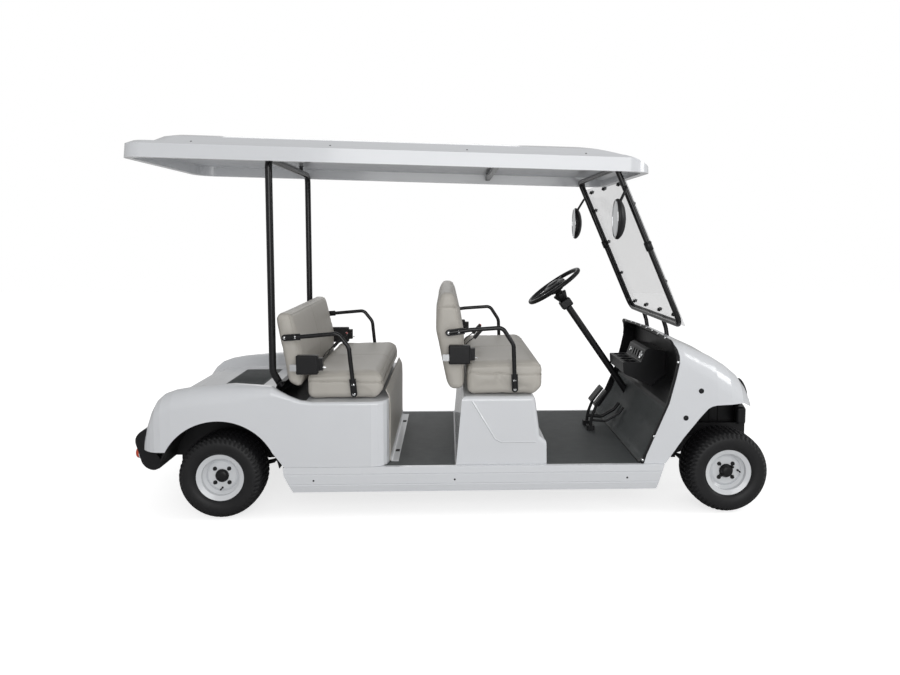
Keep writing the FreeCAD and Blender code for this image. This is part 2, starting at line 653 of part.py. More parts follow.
def front_cowl():
    """Moulded nose over the front wheels, open to the rear, with a wheel arch in each side."""
    axle, beyond = size.front_axle, size.body_half_width + 115
    shell = cowl_mass(0).cut(cowl_mass(size.body_wall))
    rear = [(-600, 100), (-446, 100)] + COWL_EDGE + [(-292, 1000), (-600, 1000)]
    shell = shell.cut(slab([(axle + x, z) for x, z in rear], -beyond, beyond))
    under = [(-332, 100), (-332, 262), (-239, 398), (-154, 505), (-111, 553), (-90, 564), (-67, 570),
             (90, 573), (130, 552), (170, 532), (300, 528), (300, 100)]
    shell = shell.cut(slab([(axle + x, z) for x, z in under], -beyond, beyond))
    sill = Part.makeBox(1600, 2 * beyond, 200, Vector(axle - 800, -beyond, size.floor_height + 4.3 - 200))
    shell = shell.cut(sill)
    for y in (-250, 250):
        shell = shell.cut(lamp(y, 55 + size.seat_gap))
    return shell


shaped("front_cowl", front_cowl())


def wheel_liners():
    """Black wheel wells: a round cup over each rear wheel, a ribbed plate inside each front one."""
    rear, front = size.rear_axle - 5, size.front_axle
    centre, outer = size.tyre_radius - 12, size.arch_radius + 7
    gauge, inner_face = size.mat_gauge, size.wheel_track / 2 - 162
    beyond = size.body_half_width + 115
    depth = size.body_half_width + 45 - inner_face
    below = Part.makeBox(800, 2 * beyond, 400, Vector(rear - 400, -beyond, size.floor_height - 400))
    top = size.kick_height + size.rail_height + size.seat_gap
    solids = []
    for side in (1, -1):
        start, way = Vector(rear, side * inner_face, centre), Vector(0, side, 0)
        cup = Part.makeCylinder(outer, depth, start, way)
        cup = cup.cut(Part.makeCylinder(outer - gauge, depth, start + way * gauge, way)).cut(below)
        solids.append(cup.common(body_mass(size.body_wall + size.seat_gap)))
        plate = Part.makeBox(286, 6, 300, Vector(front - 195, side * 225 - 3, top))
        ribs = [Part.makeBox(8, 8, 300, Vector(front - 180 + 50 * number, side * 231 - 4, top))
                for number in range(6)]
        solids.append(plate.multiFuse(ribs).common(cowl_mass(size.body_wall + size.seat_gap)))
    return Part.makeCompound(solids)


shaped("wheel_liners", wheel_liners())


# Steering column through the dash, with the steering wheel square to it
lean = math.radians(size.column_lean)
column_way = Vector(-math.sin(lean), 0, math.cos(lean))
wheel_centre = Vector(size.front_axle - 800, 270, 1134)


def along_column(distance):
    return wheel_centre + column_way * distance


def dash_liner():
    """Black inner panel: toe board from the floor, a deep well above it, and a rolled lip round the cowl."""
    axle = size.front_axle
    wall, gap = size.body_wall + size.seat_gap, size.mat_gauge
    beyond = size.body_half_width + 15
    face = [(-440, 300), (-360, 420), (-310, 560), (-268, 604), (-211, 645), (-211, 850)]
    back = [(x + 7, z - 4) for x, z in face]
    line = [(-478, 266.3)] + face + [(-252, 915), (-244, 915)] + back[::-1] + [(-466, 266.3)]
    panel = slab([(axle + x, z) for x, z in line], -beyond, beyond)
    hole = Part.makeCylinder(size.column_radius + 5, 900, along_column(-1000), column_way)
    panel = panel.cut(hole).common(cowl_mass(wall))
    inner = [(-206, 930), (-206, 640), (-262, 600), (-304, 556), (-354, 416), (-405, 340)]
    well = slab([(axle + x, z) for x, z in COWL_EDGE[1:] + inner], -beyond, beyond)
    skin = cowl_mass(wall).cut(cowl_mass(wall + gap)).common(well)
    reach, above = size.lip_width, [(axle + x - size.seat_gap, z) for x, z in COWL_EDGE]
    band = slab(above + [(x - reach, z) for x, z in above[::-1]], -beyond, beyond)
    lip = cowl_mass(-2).cut(cowl_mass(wall + gap)).common(band)
    top = size.floor_height + size.mat_gauge + size.seat_gap
    floor = Part.makeBox(900, 2 * beyond, 400, Vector(axle - 900, -beyond, top - 400))
    return panel.multiFuse([skin, lip]).cut(floor)


shaped("dash_liner", dash_liner())


def console():
    """Shelf with four cup wells in a row across the car, and a sloped switch panel behind them."""
    axle = size.front_axle
    line = [(-458, 722), (-352, 722), (-328, 792), (-302, 802), (-211.5, 786), (-211.5, 647), (-268.6, 605.8),
            (-292, 583), (-440, 650), (-454, 664)]
    shelf = slab([(axle + x, z) for x, z in line], -140, 200)
    for number in range(4):
        y = -98 + 86 * number
        shelf = shelf.cut(Part.makeCylinder(36, 50, Vector(axle - 405, y, 676)))
    shelf = shelf.makeFillet(5, [edge for edge in shelf.Edges
                                 if edge.Curve.TypeId == "Part::GeomLine" and edge.BoundBox.YLength > 300
                                 and edge.BoundBox.XMax < axle - 295])
    return shelf


shaped("console", console())


def steering_column():
    """Column with its collar, down to the steering box on the left rail."""
    column = Part.makeCylinder(size.column_radius, 812, along_column(-870), column_way)
    neck = Part.makeCone(size.column_radius + 6, size.column_radius - 2, 20 - size.seat_gap,
                         along_column(-58), column_way)
    collar = Part.makeBox(74, 70, 54, Vector(-37, -35, 0))
    collar = collar.makeFillet(10, collar.Edges)
    collar.Placement = Placement(along_column(-160), Rotation(Vector(0, 1, 0), -size.column_lean))
    rest = size.kick_height + size.rail_height + size.seat_gap
    gear = Part.makeBox(130, 60, 50, Vector(size.front_axle - 318, 240, rest))
    return column.multiFuse([neck, collar, gear])


shaped("steering_column", steering_column())


def steering_wheel():
    """Padded rim on three spokes and a cone hub."""
    ring = Part.makeTorus(size.wheel_rim_radius, size.wheel_grip_radius, wheel_centre, column_way)
    cone = Part.makeCone(24, 42, 50, along_column(-38), column_way)
    solid = ring.fuse(cone)
    across = Vector(0, 1, 0)
    for angle in (90, 210, 330):
        way = Rotation(column_way, angle).multVec(across)
        spoke = Part.makeCylinder(8, size.wheel_rim_radius, wheel_centre, way)
        solid = solid.fuse(spoke)
    return solid


shaped("steering_wheel", steering_wheel())


def pedals():
    """Brake and throttle: pads on arms from floor brackets, each linked by a bar to the toe board."""
    axle = size.front_axle
    rest = size.floor_height + size.mat_gauge + size.seat_gap
    solids = []
    for y, wide, bar in ((205, 96, 11), (85, 56, 7)):
        foot = Part.makeBox(46, 44, 30, Vector(axle - 618, y - 22, rest))
        foot = foot.makeFillet(6, [edge for edge in foot.Edges if edge.BoundBox.ZLength > 20])
        arm = tube([(axle - 596, y, rest + 14), (axle - 586, y, 350), (axle - 552, y, 440)], 9, 60)
        pad = Part.makeBox(12, wide, 116, Vector(-6, -wide / 2, -58))
        pad = pad.makeFillet(4, pad.Edges)
        pad.Placement = Placement(Vector(axle - 540, y, 464), Rotation(Vector(0, 1, 0), 38))
        link = tube([(axle - 590, y, 326), (axle - 500, y, 318), (axle - 420, y, 366), (axle - 392, y, 404)],
                    bar, [50, 50])
        solids.append(foot.multiFuse([arm, pad, link]))
    return Part.makeCompound(solids)


shaped("pedals", pedals())


def seat_pedestal():
    """Moulded shell under the front seat, over the batteries."""
    base = size.middle

    def mass(inset):
        low = size.floor_height - (50 if inset else -0.2)
        top = size.pedestal_height - inset
        line = [(base - 112 + inset, low), (base - 81 + inset, top), (base + 296 - inset, top),
                (base + 325 - inset, 408), (base + 356 - inset, 386), (base + 358 - inset, low)]
        half = size.floor_half_width - 4 - inset
        return rounded(slab(line, -half, half), 22, lambda edge: edge.BoundBox.ZMin > 380)

    return mass(0).cut(mass(size.body_wall))


shaped("seat_pedestal", seat_pedestal())


def soft(line, base, radius):
    """A plain padded block from its side view, with all its edges rounded."""
    solid = slab([(base + x, z) for x, z in line], -size.seat_half_width, size.seat_half_width)
    return solid.makeFillet(radius, solid.Edges)


front_rest = size.pedestal_height + size.seat_gap
rear_rest = size.seat_deck_height + size.seat_gap
shaped("front_seat_cushion", soft([(-62, front_rest), (300, front_rest), (345, 660), (345, 780), (300, 800),
                                   (-62, 790)], size.middle, 14))
shaped("front_seat_back", soft([(-150, 640), (-66, 640), (-68, 950), (-122, 1165), (-185, 1165), (-215, 959)],
                               size.middle, 22))
shaped("rear_seat_cushion", soft([(424, rear_rest), (795, rear_rest), (836, 650), (830, 735), (790, 752),
                                  (424, 745)], size.rear_axle, 14))
shaped("rear_seat_back", soft([(336, 680), (414, 640), (412, 830), (358, 1062), (290, 1062), (275, 1033)],
                              size.rear_axle, 20))
node(block("kick_board", 20, "2 * seat_half_width - 60", 300, "rear_axle + 775", "30 - seat_half_width",
           "floor_height + 0.3"), "rear_kick_panel")


def arm_pair(base, line, bends):
    """Side rails of a seat, bolted to its back and its base at both sides."""
    y = size.seat_half_width + size.arm_radius + 10
    bar = tube([(base + x, y, z) for x, z in line], size.arm_radius, bends)
    bosses = []
    for (x, z), (ahead_x, ahead_z) in ((line[0], line[1]), (line[-1], line[-2])):
        wide, thick, run = 3 * size.arm_radius, 0.9 * size.arm_radius, 7 * size.arm_radius
        flat = Part.makeBox(run, thick, wide, Vector(0, -thick / 2, -wide / 2))
        flat = flat.fuse(Part.makeCylinder(wide / 2, thick, Vector(0, -thick / 2, 0), Vector(0, 1, 0)))
        turn = math.degrees(math.atan2(ahead_z - z, ahead_x - x))
        flat.Placement = Placement(Vector(base + x, y, z), Rotation(Vector(0, 1, 0), -turn))
        bosses.append(flat)
        start = Vector(base + x, size.seat_half_width + size.seat_gap, z)
        bosses.append(Part.makeCylinder(9, 10 + size.arm_radius, start, Vector(0, 1, 0)))
    return Part.makeCompound(both_sides(bar.multiFuse(bosses)))


shaped("armrests_front", arm_pair(size.middle, [(-150, 952), (-42, 967), (125, 978), (182, 890), (190, 660)],
                                  [60, 40, 60]))
shaped("armrests_rear", arm_pair(size.rear_axle, [(335, 929), (412, 934), (600, 950), (655, 880), (679, 640)],
                                 [60, 40, 60]))


def belt_reels():
    """Belt reel housings at the sides of both seat backs."""
    solids = []
    for base, x, z in ((size.middle, -150, 792), (size.rear_axle, 390, 743)):
        case = Part.makeBox(110, 42, 98, Vector(base + x, size.seat_half_width + 0.3, z))
        solids += both_sides(case.makeFillet(8, case.Edges))
    return Part.makeCompound(solids)


shaped("belt_reels", belt_reels())

# Height of the roof's underside at any X
roof_rear = size.rear_axle - 462
roof_front = size.front_axle - 428
roof_length = roof_front - roof_rear


def roof_under(x):
    return size.roof_rear_height - size.roof_fall * (x - roof_rear) / roof_length


def roof_layer(margin, height, corner, shift=0):
    """A flat rounded outline of the roof, drawn in by a margin at a height above its underside."""
    half = size.roof_half_width - margin
    rear, front = roof_rear + margin + shift, roof_front - margin + shift
    diagonal = corner * (1 - math.sqrt(0.5))
    corners = [(front, half, -1, -1), (rear, half, 1, -1), (rear, -half, 1, 1), (front, -half, -1, 1)]
    arcs = []
    for x, y, inward_x, inward_y in corners:
        along = Vector(x + inward_x * corner, y, 0)
        across = Vector(x, y + inward_y * corner, 0)
        middle = Vector(x + inward_x * diagonal, y + inward_y * diagonal, 0)
        first, last = (across, along) if inward_x == inward_y else (along, across)
        arcs.append((first, middle, last))
    edges = []
    for number, (first, middle, last) in enumerate(arcs):
        edges.append(Part.Arc(first, middle, last).toShape())
        edges.append(Part.LineSegment(last, arcs[(number + 1) % 4][0]).toShape())
    wire = Part.Wire(edges)
    wire.translate(Vector(0, 0, size.roof_rear_height + height))
    fall = math.degrees(math.atan(size.roof_fall / roof_length))
    wire.rotate(Vector(roof_rear, 0, size.roof_rear_height), Vector(0, 1, 0), fall)
    return wire


def visor_cut(drop):
    """Everything above the roof's front slope, a curve that falls to the pointed front edge."""
    back, tip = roof_front - size.visor_length, roof_front + 6
    high = roof_under(back) + size.roof_skirt + 64 - drop
    low = roof_under(tip) + 26 - drop
    middle = Vector((back + tip) / 2, 0, low + 0.76 * (high - low))
    bow = Part.Arc(Vector(back, 0, high), middle, Vector(tip, 0, low))
    wire = [bow.toShape()]
    corners = [bow.EndPoint, Vector(tip + 150, 0, low), Vector(tip + 150, 0, high + 300),
               Vector(back, 0, high + 300), bow.StartPoint]
    wire += [Part.LineSegment(a, b).toShape() for a, b in zip(corners, corners[1:])]
    face = Part.Face(Part.Wire(wire))
    face.translate(Vector(0, -800, 0))
    return face.extrude(Vector(0, 1600, 0))


def roof():
    """Hard roof: upright edge, raised panel with its own rear end, pointed front and a recess below."""
    skirt = size.roof_skirt
    edge = Part.makeLoft([roof_layer(0, 0, 116), roof_layer(5, skirt, 111)], True, True)
    crown = Part.makeLoft([roof_layer(5, skirt, 111), roof_layer(34, skirt + 16, 100)], True, True)
    panel = Part.makeLoft([roof_layer(20, skirt + 2, 100, 80), roof_layer(96, skirt + 48, 90, 70),
                           roof_layer(140, skirt + 60, 80, 70)], True, True)
    hollow = Part.makeLoft([roof_layer(38, -1, 90), roof_layer(44, skirt - 12, 86)], True, False)
    return edge.multiFuse([crown, panel]).cut(visor_cut(0)).cut(hollow.cut(visor_cut(12)))


shaped("roof", roof())


def roof_posts():
    """Rear posts joined by a bar under the roof, and a second bar further forward."""
    axle = size.rear_axle
    half = size.post_spread / 2
    x = axle + 257
    ceiling = size.roof_skirt - 12 - size.seat_gap
    drop = 22
    top = roof_under(x) + ceiling - size.tube_radius - drop
    hoop = tube([(x + 36, -half + 24, 668), (x, -half, 745), (x, -half, top), (x, half, top),
                 (x, half, 745), (x + 36, half - 24, 668)], size.tube_radius, [60, 50, 50, 60])
    struts = [Part.makeCylinder(11, size.tube_radius + drop, Vector(x, y, top)) for y in (-300, 300)]
    bar_x = size.middle + 90
    bar = Part.makeBox(28, 2 * 528, 22, Vector(bar_x, -528, roof_under(bar_x + 28) + 20))
    hangers = [Part.makeBox(28, 14, ceiling - 25, Vector(bar_x, y - 7, roof_under(bar_x + 28) + 25))
               for y in (-400, 400)]
    return Part.makeCompound([hoop.multiFuse(struts).cut(body_mass(-size.seat_gap)), bar.multiFuse(hangers)])


shaped("roof_posts", roof_posts())


def windscreen_frame():
    """Tube hoop round the windscreen, on two stubs from the cowl, up to a bar under the roof."""
    axle = size.front_axle
    half = size.frame_half_width
    low = (axle - 249, 981)
    high = (axle - 604, 1782 + 12)
    hoop = [(high[0], 0, high[1]), (high[0], -half, high[1]), (low[0], -half, low[1]), (low[0], half, low[1]),
            (high[0], half, high[1]), (high[0], 0, high[1])]
    path = route(hoop, [30, 60, 60, 30])
    start = Vector(*hoop[0])
    ring = Part.Wire([Part.Circle(start, Vector(0, -1, 0), size.frame_radius).toShape()])
    solid = path.makePipeShell([ring], True, False)
    stubs = [tube([(low[0], y, low[1]), (axle - 232, y, 930), (axle - 222, y, 872)], 12, 60)
             for y in (-200, 200)]
    return solid.multiFuse(stubs).cut(cowl_mass(-size.seat_gap))


shaped("windscreen_frame", windscreen_frame())


def windscreen():
    """Clear sheet in front of the frame."""
    axle = size.front_axle
    low, high = Vector(axle - 249, 0, 981), Vector(axle - 604, 0, 1794)
    up = (high - low).normalize()
    ahead = Vector(-up.z, 0, up.x) * -1
    half = size.frame_half_width + 8
    clear = size.frame_radius + size.seat_gap
    start = low + ahead * clear - up * 10
    end = high + ahead * clear - up * 60
    thick = ahead * size.screen_gauge
    wire = Part.makePolygon([start, end, end + thick, start + thick, start])
    wire.translate(Vector(0, -half, 0))
    return Part.Face(wire).extrude(Vector(0, 2 * half, 0))


shaped("windscreen", windscreen())


def mirrors():
    """Rear-view mirrors on curved stalks from the upper corners of the windscreen frame."""
    axle = size.front_axle
    solids = []
    for side in (1, -1):
        outside = size.frame_half_width + size.frame_radius + size.seat_gap + 0.4
        stalk = tube([(axle - 562, side * outside, 1694), (axle - 562, side * 565, 1690),
                      (axle - 600, side * 590, 1620), (axle - 600, side * 590, 1560)], 7, [25, 25])
        rings = []
        for depth, tall, wide in ((0, 97, 62), (12, 102, 65), (30, 88, 56), (44, 58, 36), (50, 30, 18)):
            oval = Part.Ellipse(Vector(), tall, wide)
            ring = Part.Wire([oval.toShape()])
            ring.Placement = Placement(Vector(axle - 624 + depth, side * 590, 1530),
                                       Rotation(Vector(0, 1, 0), -90))
            rings.append(ring)
        case = Part.makeLoft(rings, True, False)
        solids.append(stalk.fuse(case))
    return Part.makeCompound(solids)


shaped("mirrors", mirrors())


def rear_bumper():
    """Black moulding across the tail, tucked under it, on two short brackets from the rails."""
    axle = size.rear_axle
    arcs = [(-380, 452), (-434, 436), (-470, 392), (-471, 375), (-464, 356), (-450, 318), (-440, 280),
            (-418, 246), (-384, 230), (-356, 236), (-339, 268)]
    reach, sweep = 492, 12
    radius = (reach ** 2 + sweep ** 2) / (2 * sweep)
    knots = [Vector(axle + x, 0, z) for x, z in arcs]
    skin = [Part.Arc(*knots[number:number + 3]).toShape() for number in range(0, len(knots) - 1, 2)]
    back = [Vector(axle + x, 0, z) for x, z in (arcs[-1], (-352, 300), (-380, 335), arcs[0])]
    wire = Part.Wire(skin + [Part.LineSegment(a, b).toShape() for a, b in zip(back, back[1:])])
    turn = math.degrees(math.asin(reach / radius))
    pivot = Vector(axle - 471 + radius, 0, 0)
    face = Part.Face(wire)
    face.rotate(pivot, Vector(0, 0, 1), -turn)
    bar = face.revolve(pivot, Vector(0, 0, 1), 2 * turn)
    plan = Part.makeBox(300, 2 * reach - 2, 400, Vector(axle - 473, 1 - reach, 150))
    bar = bar.common(plan.makeFillet(44, [edge for edge in plan.Edges if edge.BoundBox.ZLength > 300]))
    below = Part.makeBox(900, 1400, 400, Vector(axle - 800, -700, 343 - size.seat_gap - 400))
    bar = bar.cut(body_mass(-size.seat_gap).cut(below))
    under = size.kick_height - size.seat_gap
    arms = [Part.makeBox(23, 40, under - 280, Vector(axle - 362, side * size.rail_spread / 2 - 20, 280))
            for side in (1, -1)]
    return bar.multiFuse(arms)


bumper_bar = rear_bumper()
shaped("rear_bumper", bumper_bar)


def tail_lamps():
    """Round domed lenses on base rings, on the lower face of the bumper near its ends."""
    solids = []
    seat, tip = size.rear_axle - 440, size.rear_axle - size.rear_overhang
    behind = bumper_bar.translated(Vector(-size.seat_gap, 0, 0))
    for y in (-430, 430):
        base = Part.makeCylinder(34, seat + 60 - tip - 22, Vector(tip + 22, y, 308), Vector(1, 0, 0))
        dome = Part.makeCylinder(30, 22, Vector(tip + 22, y, 308), Vector(-1, 0, 0))
        dome = dome.makeFillet(16, [edge for edge in dome.Edges if abs(edge.BoundBox.XMax - tip) < 0.1])
        solids.append(base.fuse(dome).cut(behind))
    return Part.makeCompound(solids)


shaped("tail_lamps", tail_lamps())


def front_bumper():
    """Black bar under the nose, bowed back towards its ends, on the rails' front ends."""
    nose = size.front_axle + size.front_overhang
    reach, sweep, depth = 330, 50, 55
    ahead = Part.Arc(Vector(nose - sweep, -reach, 0), Vector(nose, 0, 0), Vector(nose - sweep, reach, 0))
    behind = Part.Arc(Vector(nose - sweep - depth, reach, 0), Vector(nose - depth, 0, 0),
                      Vector(nose - sweep - depth, -reach, 0))
    ends = [Part.LineSegment(ahead.EndPoint, behind.StartPoint).toShape(),
            Part.LineSegment(behind.EndPoint, ahead.StartPoint).toShape()]
    face = Part.Face(Part.Wire([ahead.toShape(), ends[0], behind.toShape(), ends[1]]))
    bar = face.extrude(Vector(0, 0, 100))
    bar = bar.makeFillet(16, bar.Edges)
    bar.translate(Vector(0, 0, size.kick_height + size.rail_height + size.seat_gap))
    return bar


shaped("front_bumper", front_bumper())


def headlamps():
    solids = []
    for y in (-250, 250):
        solids.append(lamp(y, 55))
    return Part.makeCompound(solids)


shaped("headlamps", headlamps())

doc.recompute()
for item in doc.Objects:
    if "Invalid" in item.State or "Error" in item.State:
        raise RuntimeError(f"{item.Label} did not build: {item.State}")
os.makedirs("parts", exist_ok=True)
for item in NODES:
    if item.Shape.isNull() or not item.Shape.isValid():
        raise RuntimeError(f"{item.Label} has no valid shape")
    item.Shape.exportStep(f"parts/{item.Label}.step")
print(len(NODES), "sub-parts written")
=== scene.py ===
# %% [markdown]
# A four-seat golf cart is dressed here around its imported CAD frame. The frame fixes every size and place.
# What this script adds is what the solids leave out: finishes, tread, stitched seats, screws and small trim.
# Lengths are in metres. X runs forward, Y to the left and Z up, from the ground under the cart's middle.

# %% The frame and its box
import json
import math

import bpy
import numpy as np
from mathutils import Matrix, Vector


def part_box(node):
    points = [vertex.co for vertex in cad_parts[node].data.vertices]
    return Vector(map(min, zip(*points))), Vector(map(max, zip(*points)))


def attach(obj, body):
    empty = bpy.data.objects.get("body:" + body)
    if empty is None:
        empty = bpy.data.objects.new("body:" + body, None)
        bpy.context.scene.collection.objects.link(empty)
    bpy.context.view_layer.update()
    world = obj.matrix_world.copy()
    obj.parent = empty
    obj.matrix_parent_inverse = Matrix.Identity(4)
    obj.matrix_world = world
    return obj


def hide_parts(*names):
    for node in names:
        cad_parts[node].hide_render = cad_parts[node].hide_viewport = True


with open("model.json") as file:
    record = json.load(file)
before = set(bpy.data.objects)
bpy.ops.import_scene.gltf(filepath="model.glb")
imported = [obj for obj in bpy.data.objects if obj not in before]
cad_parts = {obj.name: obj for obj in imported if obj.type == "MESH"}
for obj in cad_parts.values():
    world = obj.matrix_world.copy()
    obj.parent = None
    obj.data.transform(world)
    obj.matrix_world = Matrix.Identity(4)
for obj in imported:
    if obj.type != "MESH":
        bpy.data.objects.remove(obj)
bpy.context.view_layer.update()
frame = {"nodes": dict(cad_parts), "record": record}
nodes = frame["nodes"]
MM = 0.001

# %% [markdown]
# The picture that this render answers to was taken from the right-hand side with a moderate lens, a little
# above the seats. The camera's place and its three turns came from matching wheels, roof and floor corners,
# so they are written down as found. The lens axis didn't pass through the middle of that picture, and the
# two shifts move the frame instead of turning the camera, which would bend the verticals.

# %% Camera
CAMERA_AT = np.array([-0.0346, -4.1444, 1.4393])
YAW, PITCH, ROLL = 0.0405, 0.0837, 0.003
LENS_MM, SENSOR_MM = 28.41, 36.0
SHIFT = (-0.0301, -0.0457)


def unit(v):
    """A direction of length one."""
    v = np.asarray(v, float)
    return v / np.linalg.norm(v)


def camera_axes(yaw, pitch, roll):
    """Right, up and forward of a camera that looks along +Y, turned by yaw, pitched down, then rolled."""
    forward = np.array([math.sin(yaw) * math.cos(pitch), math.cos(yaw) * math.cos(pitch), -math.sin(pitch)])
    right = unit(np.cross(forward, [0, 0, 1]))
    up = np.cross(right, forward)
    rolled_right = math.cos(roll) * right + math.sin(roll) * up
    return rolled_right, np.cross(rolled_right, forward), forward


def stand(name, data, right, up, back, at):
    """A camera or lamp, whose matrix columns are its right, up and backward directions and its place."""
    thing = bpy.data.objects.new(name, data)
    matrix = np.eye(4)
    matrix[:3] = np.stack([right, up, back, at], 1)
    thing.matrix_world = Matrix(matrix.tolist())
    bpy.context.scene.collection.objects.link(thing)
    return thing


optics = bpy.data.cameras.new("camera")
optics.lens, optics.sensor_width = LENS_MM, SENSOR_MM
optics.shift_x, optics.shift_y = SHIFT
right, up, forward = camera_axes(YAW, PITCH, ROLL)
bpy.context.scene.camera = stand("camera", optics, right, up, -forward, CAMERA_AT)
print("camera at:", CAMERA_AT)

# %% [markdown]
# A white cart on a white ground needs light that shows its form without clipping. Three wide, dim panels
# stand far off, so their reflections are broad soft bands, and an even grey-white world fills the shade.
# The ground and the sky look white to the camera through Light Path, which adds no light to the cart.

# %% Light and sky
LAMPS = [
    ("key_panel", (0.6, -7.0, 2.7), (0.0, 0.0, 0.9), 4.5, 180.0),
    ("front_panel", (6.5, -1.5, 3.5), (0.3, 0.0, 0.9), 2.5, 90.0),
    ("back_panel", (-1.0, 5.5, 4.0), (0.0, 0.0, 1.0), 4.0, 45.0),
]
WORLD_STRENGTH = 0.50


def add_lamp(name, eye, target, width, watts):
    """A square area lamp that faces its target."""
    data = bpy.data.lights.new(name, "AREA")
    data.size, data.energy = width, watts
    back = unit(np.subtract(eye, target))
    right = unit(np.cross([0, 0, 1], back))
    stand(name, data, right, np.cross(back, right), back, eye)


def add_node(tree, kind, **values):
    """A shader node with some of its inputs or settings filled in by name."""
    made = tree.nodes.new(kind)
    for key, value in values.items():
        socket = made.inputs.get(key.replace("_", " ").title())
        if socket is None:
            setattr(made, key, value)
        else:
            socket.default_value = value
    return made


def bare_tree(owner):
    """The node tree of a world or a material, emptied."""
    owner.use_nodes = True
    owner.node_tree.nodes.clear()
    return owner.node_tree


def backdrop_white():
    """A sky of one grey-white for light and gloss, and plain white where the camera or glass sees it."""
    world = bpy.data.worlds.new("studio")
    bpy.context.scene.world = world
    tree = bare_tree(world)
    path = add_node(tree, "ShaderNodeLightPath")
    seen = add_node(tree, "ShaderNodeMath", operation="MAXIMUM")
    tree.links.new(path.outputs["Is Camera Ray"], seen.inputs[0])
    tree.links.new(path.outputs["Is Transmission Ray"], seen.inputs[1])
    strength = add_node(tree, "ShaderNodeMapRange", to_min=WORLD_STRENGTH)
    tree.links.new(seen.outputs[0], strength.inputs["Value"])
    sky = add_node(tree, "ShaderNodeBackground", color=(1, 1, 1, 1))
    tree.links.new(strength.outputs[0], sky.inputs["Strength"])
    out = add_node(tree, "ShaderNodeOutputWorld")
    tree.links.new(sky.outputs[0], out.inputs["Surface"])


for lamp in LAMPS:
    add_lamp(*lamp)
backdrop_white()
bpy.context.scene.view_settings.view_transform = "Standard"
print("lamps:", len(LAMPS))

# %% Ground
GROUND_REACH = 14.0
GROUND_GREY = (0.62, 0.62, 0.62, 1)
GROUND_LIFT = (0.74, 0.74, 0.74, 1)


def surface(name, points, faces, smooth=True):
    """A mesh object at the origin from an array of points and a list or array of faces."""
    mesh = bpy.data.meshes.new(name)
    if isinstance(faces, np.ndarray):
        faces = faces.tolist()
    mesh.from_pydata(np.asarray(points, float).tolist(), [], faces)
    if smooth:
        mesh.shade_smooth()
    thing = bpy.data.objects.new(name, mesh)
    bpy.context.scene.collection.objects.link(thing)
    return thing


def lay_ground():
    """A wide sheet at Z = 0: a soft shadow from its diffuse part over a white that only the camera sees."""
    corners = GROUND_REACH * np.array([(-1, -1, 0), (1, -1, 0), (1, 1, 0), (-1, 1, 0)])
    ground = surface("ground", corners, [(0, 1, 2, 3)], smooth=False)
    paint = bpy.data.materials.new("ground_white")
    tree = bare_tree(paint)
    path = add_node(tree, "ShaderNodeLightPath")
    matt = add_node(tree, "ShaderNodeBsdfDiffuse", color=GROUND_GREY)
    lift = add_node(tree, "ShaderNodeEmission", color=GROUND_LIFT)
    tree.links.new(path.outputs["Is Camera Ray"], lift.inputs["Strength"])
    total = add_node(tree, "ShaderNodeAddShader")
    tree.links.new(matt.outputs[0], total.inputs[0])
    tree.links.new(lift.outputs[0], total.inputs[1])
    out = add_node(tree, "ShaderNodeOutputMaterial")
    tree.links.new(total.outputs[0], out.inputs["Surface"])
    ground.data.materials.append(paint)


lay_ground()

# %% [markdown]
# Every finish starts from one recipe: a shader whose colour wanders a little, whose gloss is uneven, and
# whose normal is pushed by one or more fine patterns. All patterns read Object coordinates in metres, so a
# scale of 900 gives cells about one millimetre wide, the same on every piece.

# %% Finishes
PATTERNS = {"noise": ("ShaderNodeTexNoise", "Fac"), "ribs": ("ShaderNodeTexWave", "Fac"),
            "cells": ("ShaderNodeTexVoronoi", "Distance")}
NOISE_DETAIL = 3.0
LEAST_ROUGHNESS = 0.02
COLOUR_A, COLOUR_B, COLOUR_OUT = 6, 7, 2


def pattern(tree, where, kind, scale):
    """A noise, rib or cell pattern as one number per point. Ribs run along X, 0.314 / scale metres apart."""
    node_kind, output = PATTERNS[kind]
    made = add_node(tree, node_kind, scale=scale)
    if kind == "noise":
        made.inputs["Detail"].default_value = NOISE_DETAIL
    if kind == "ribs":
        made.bands_direction = "Y"
    tree.links.new(where, made.inputs["Vector"])
    return made.outputs[output]


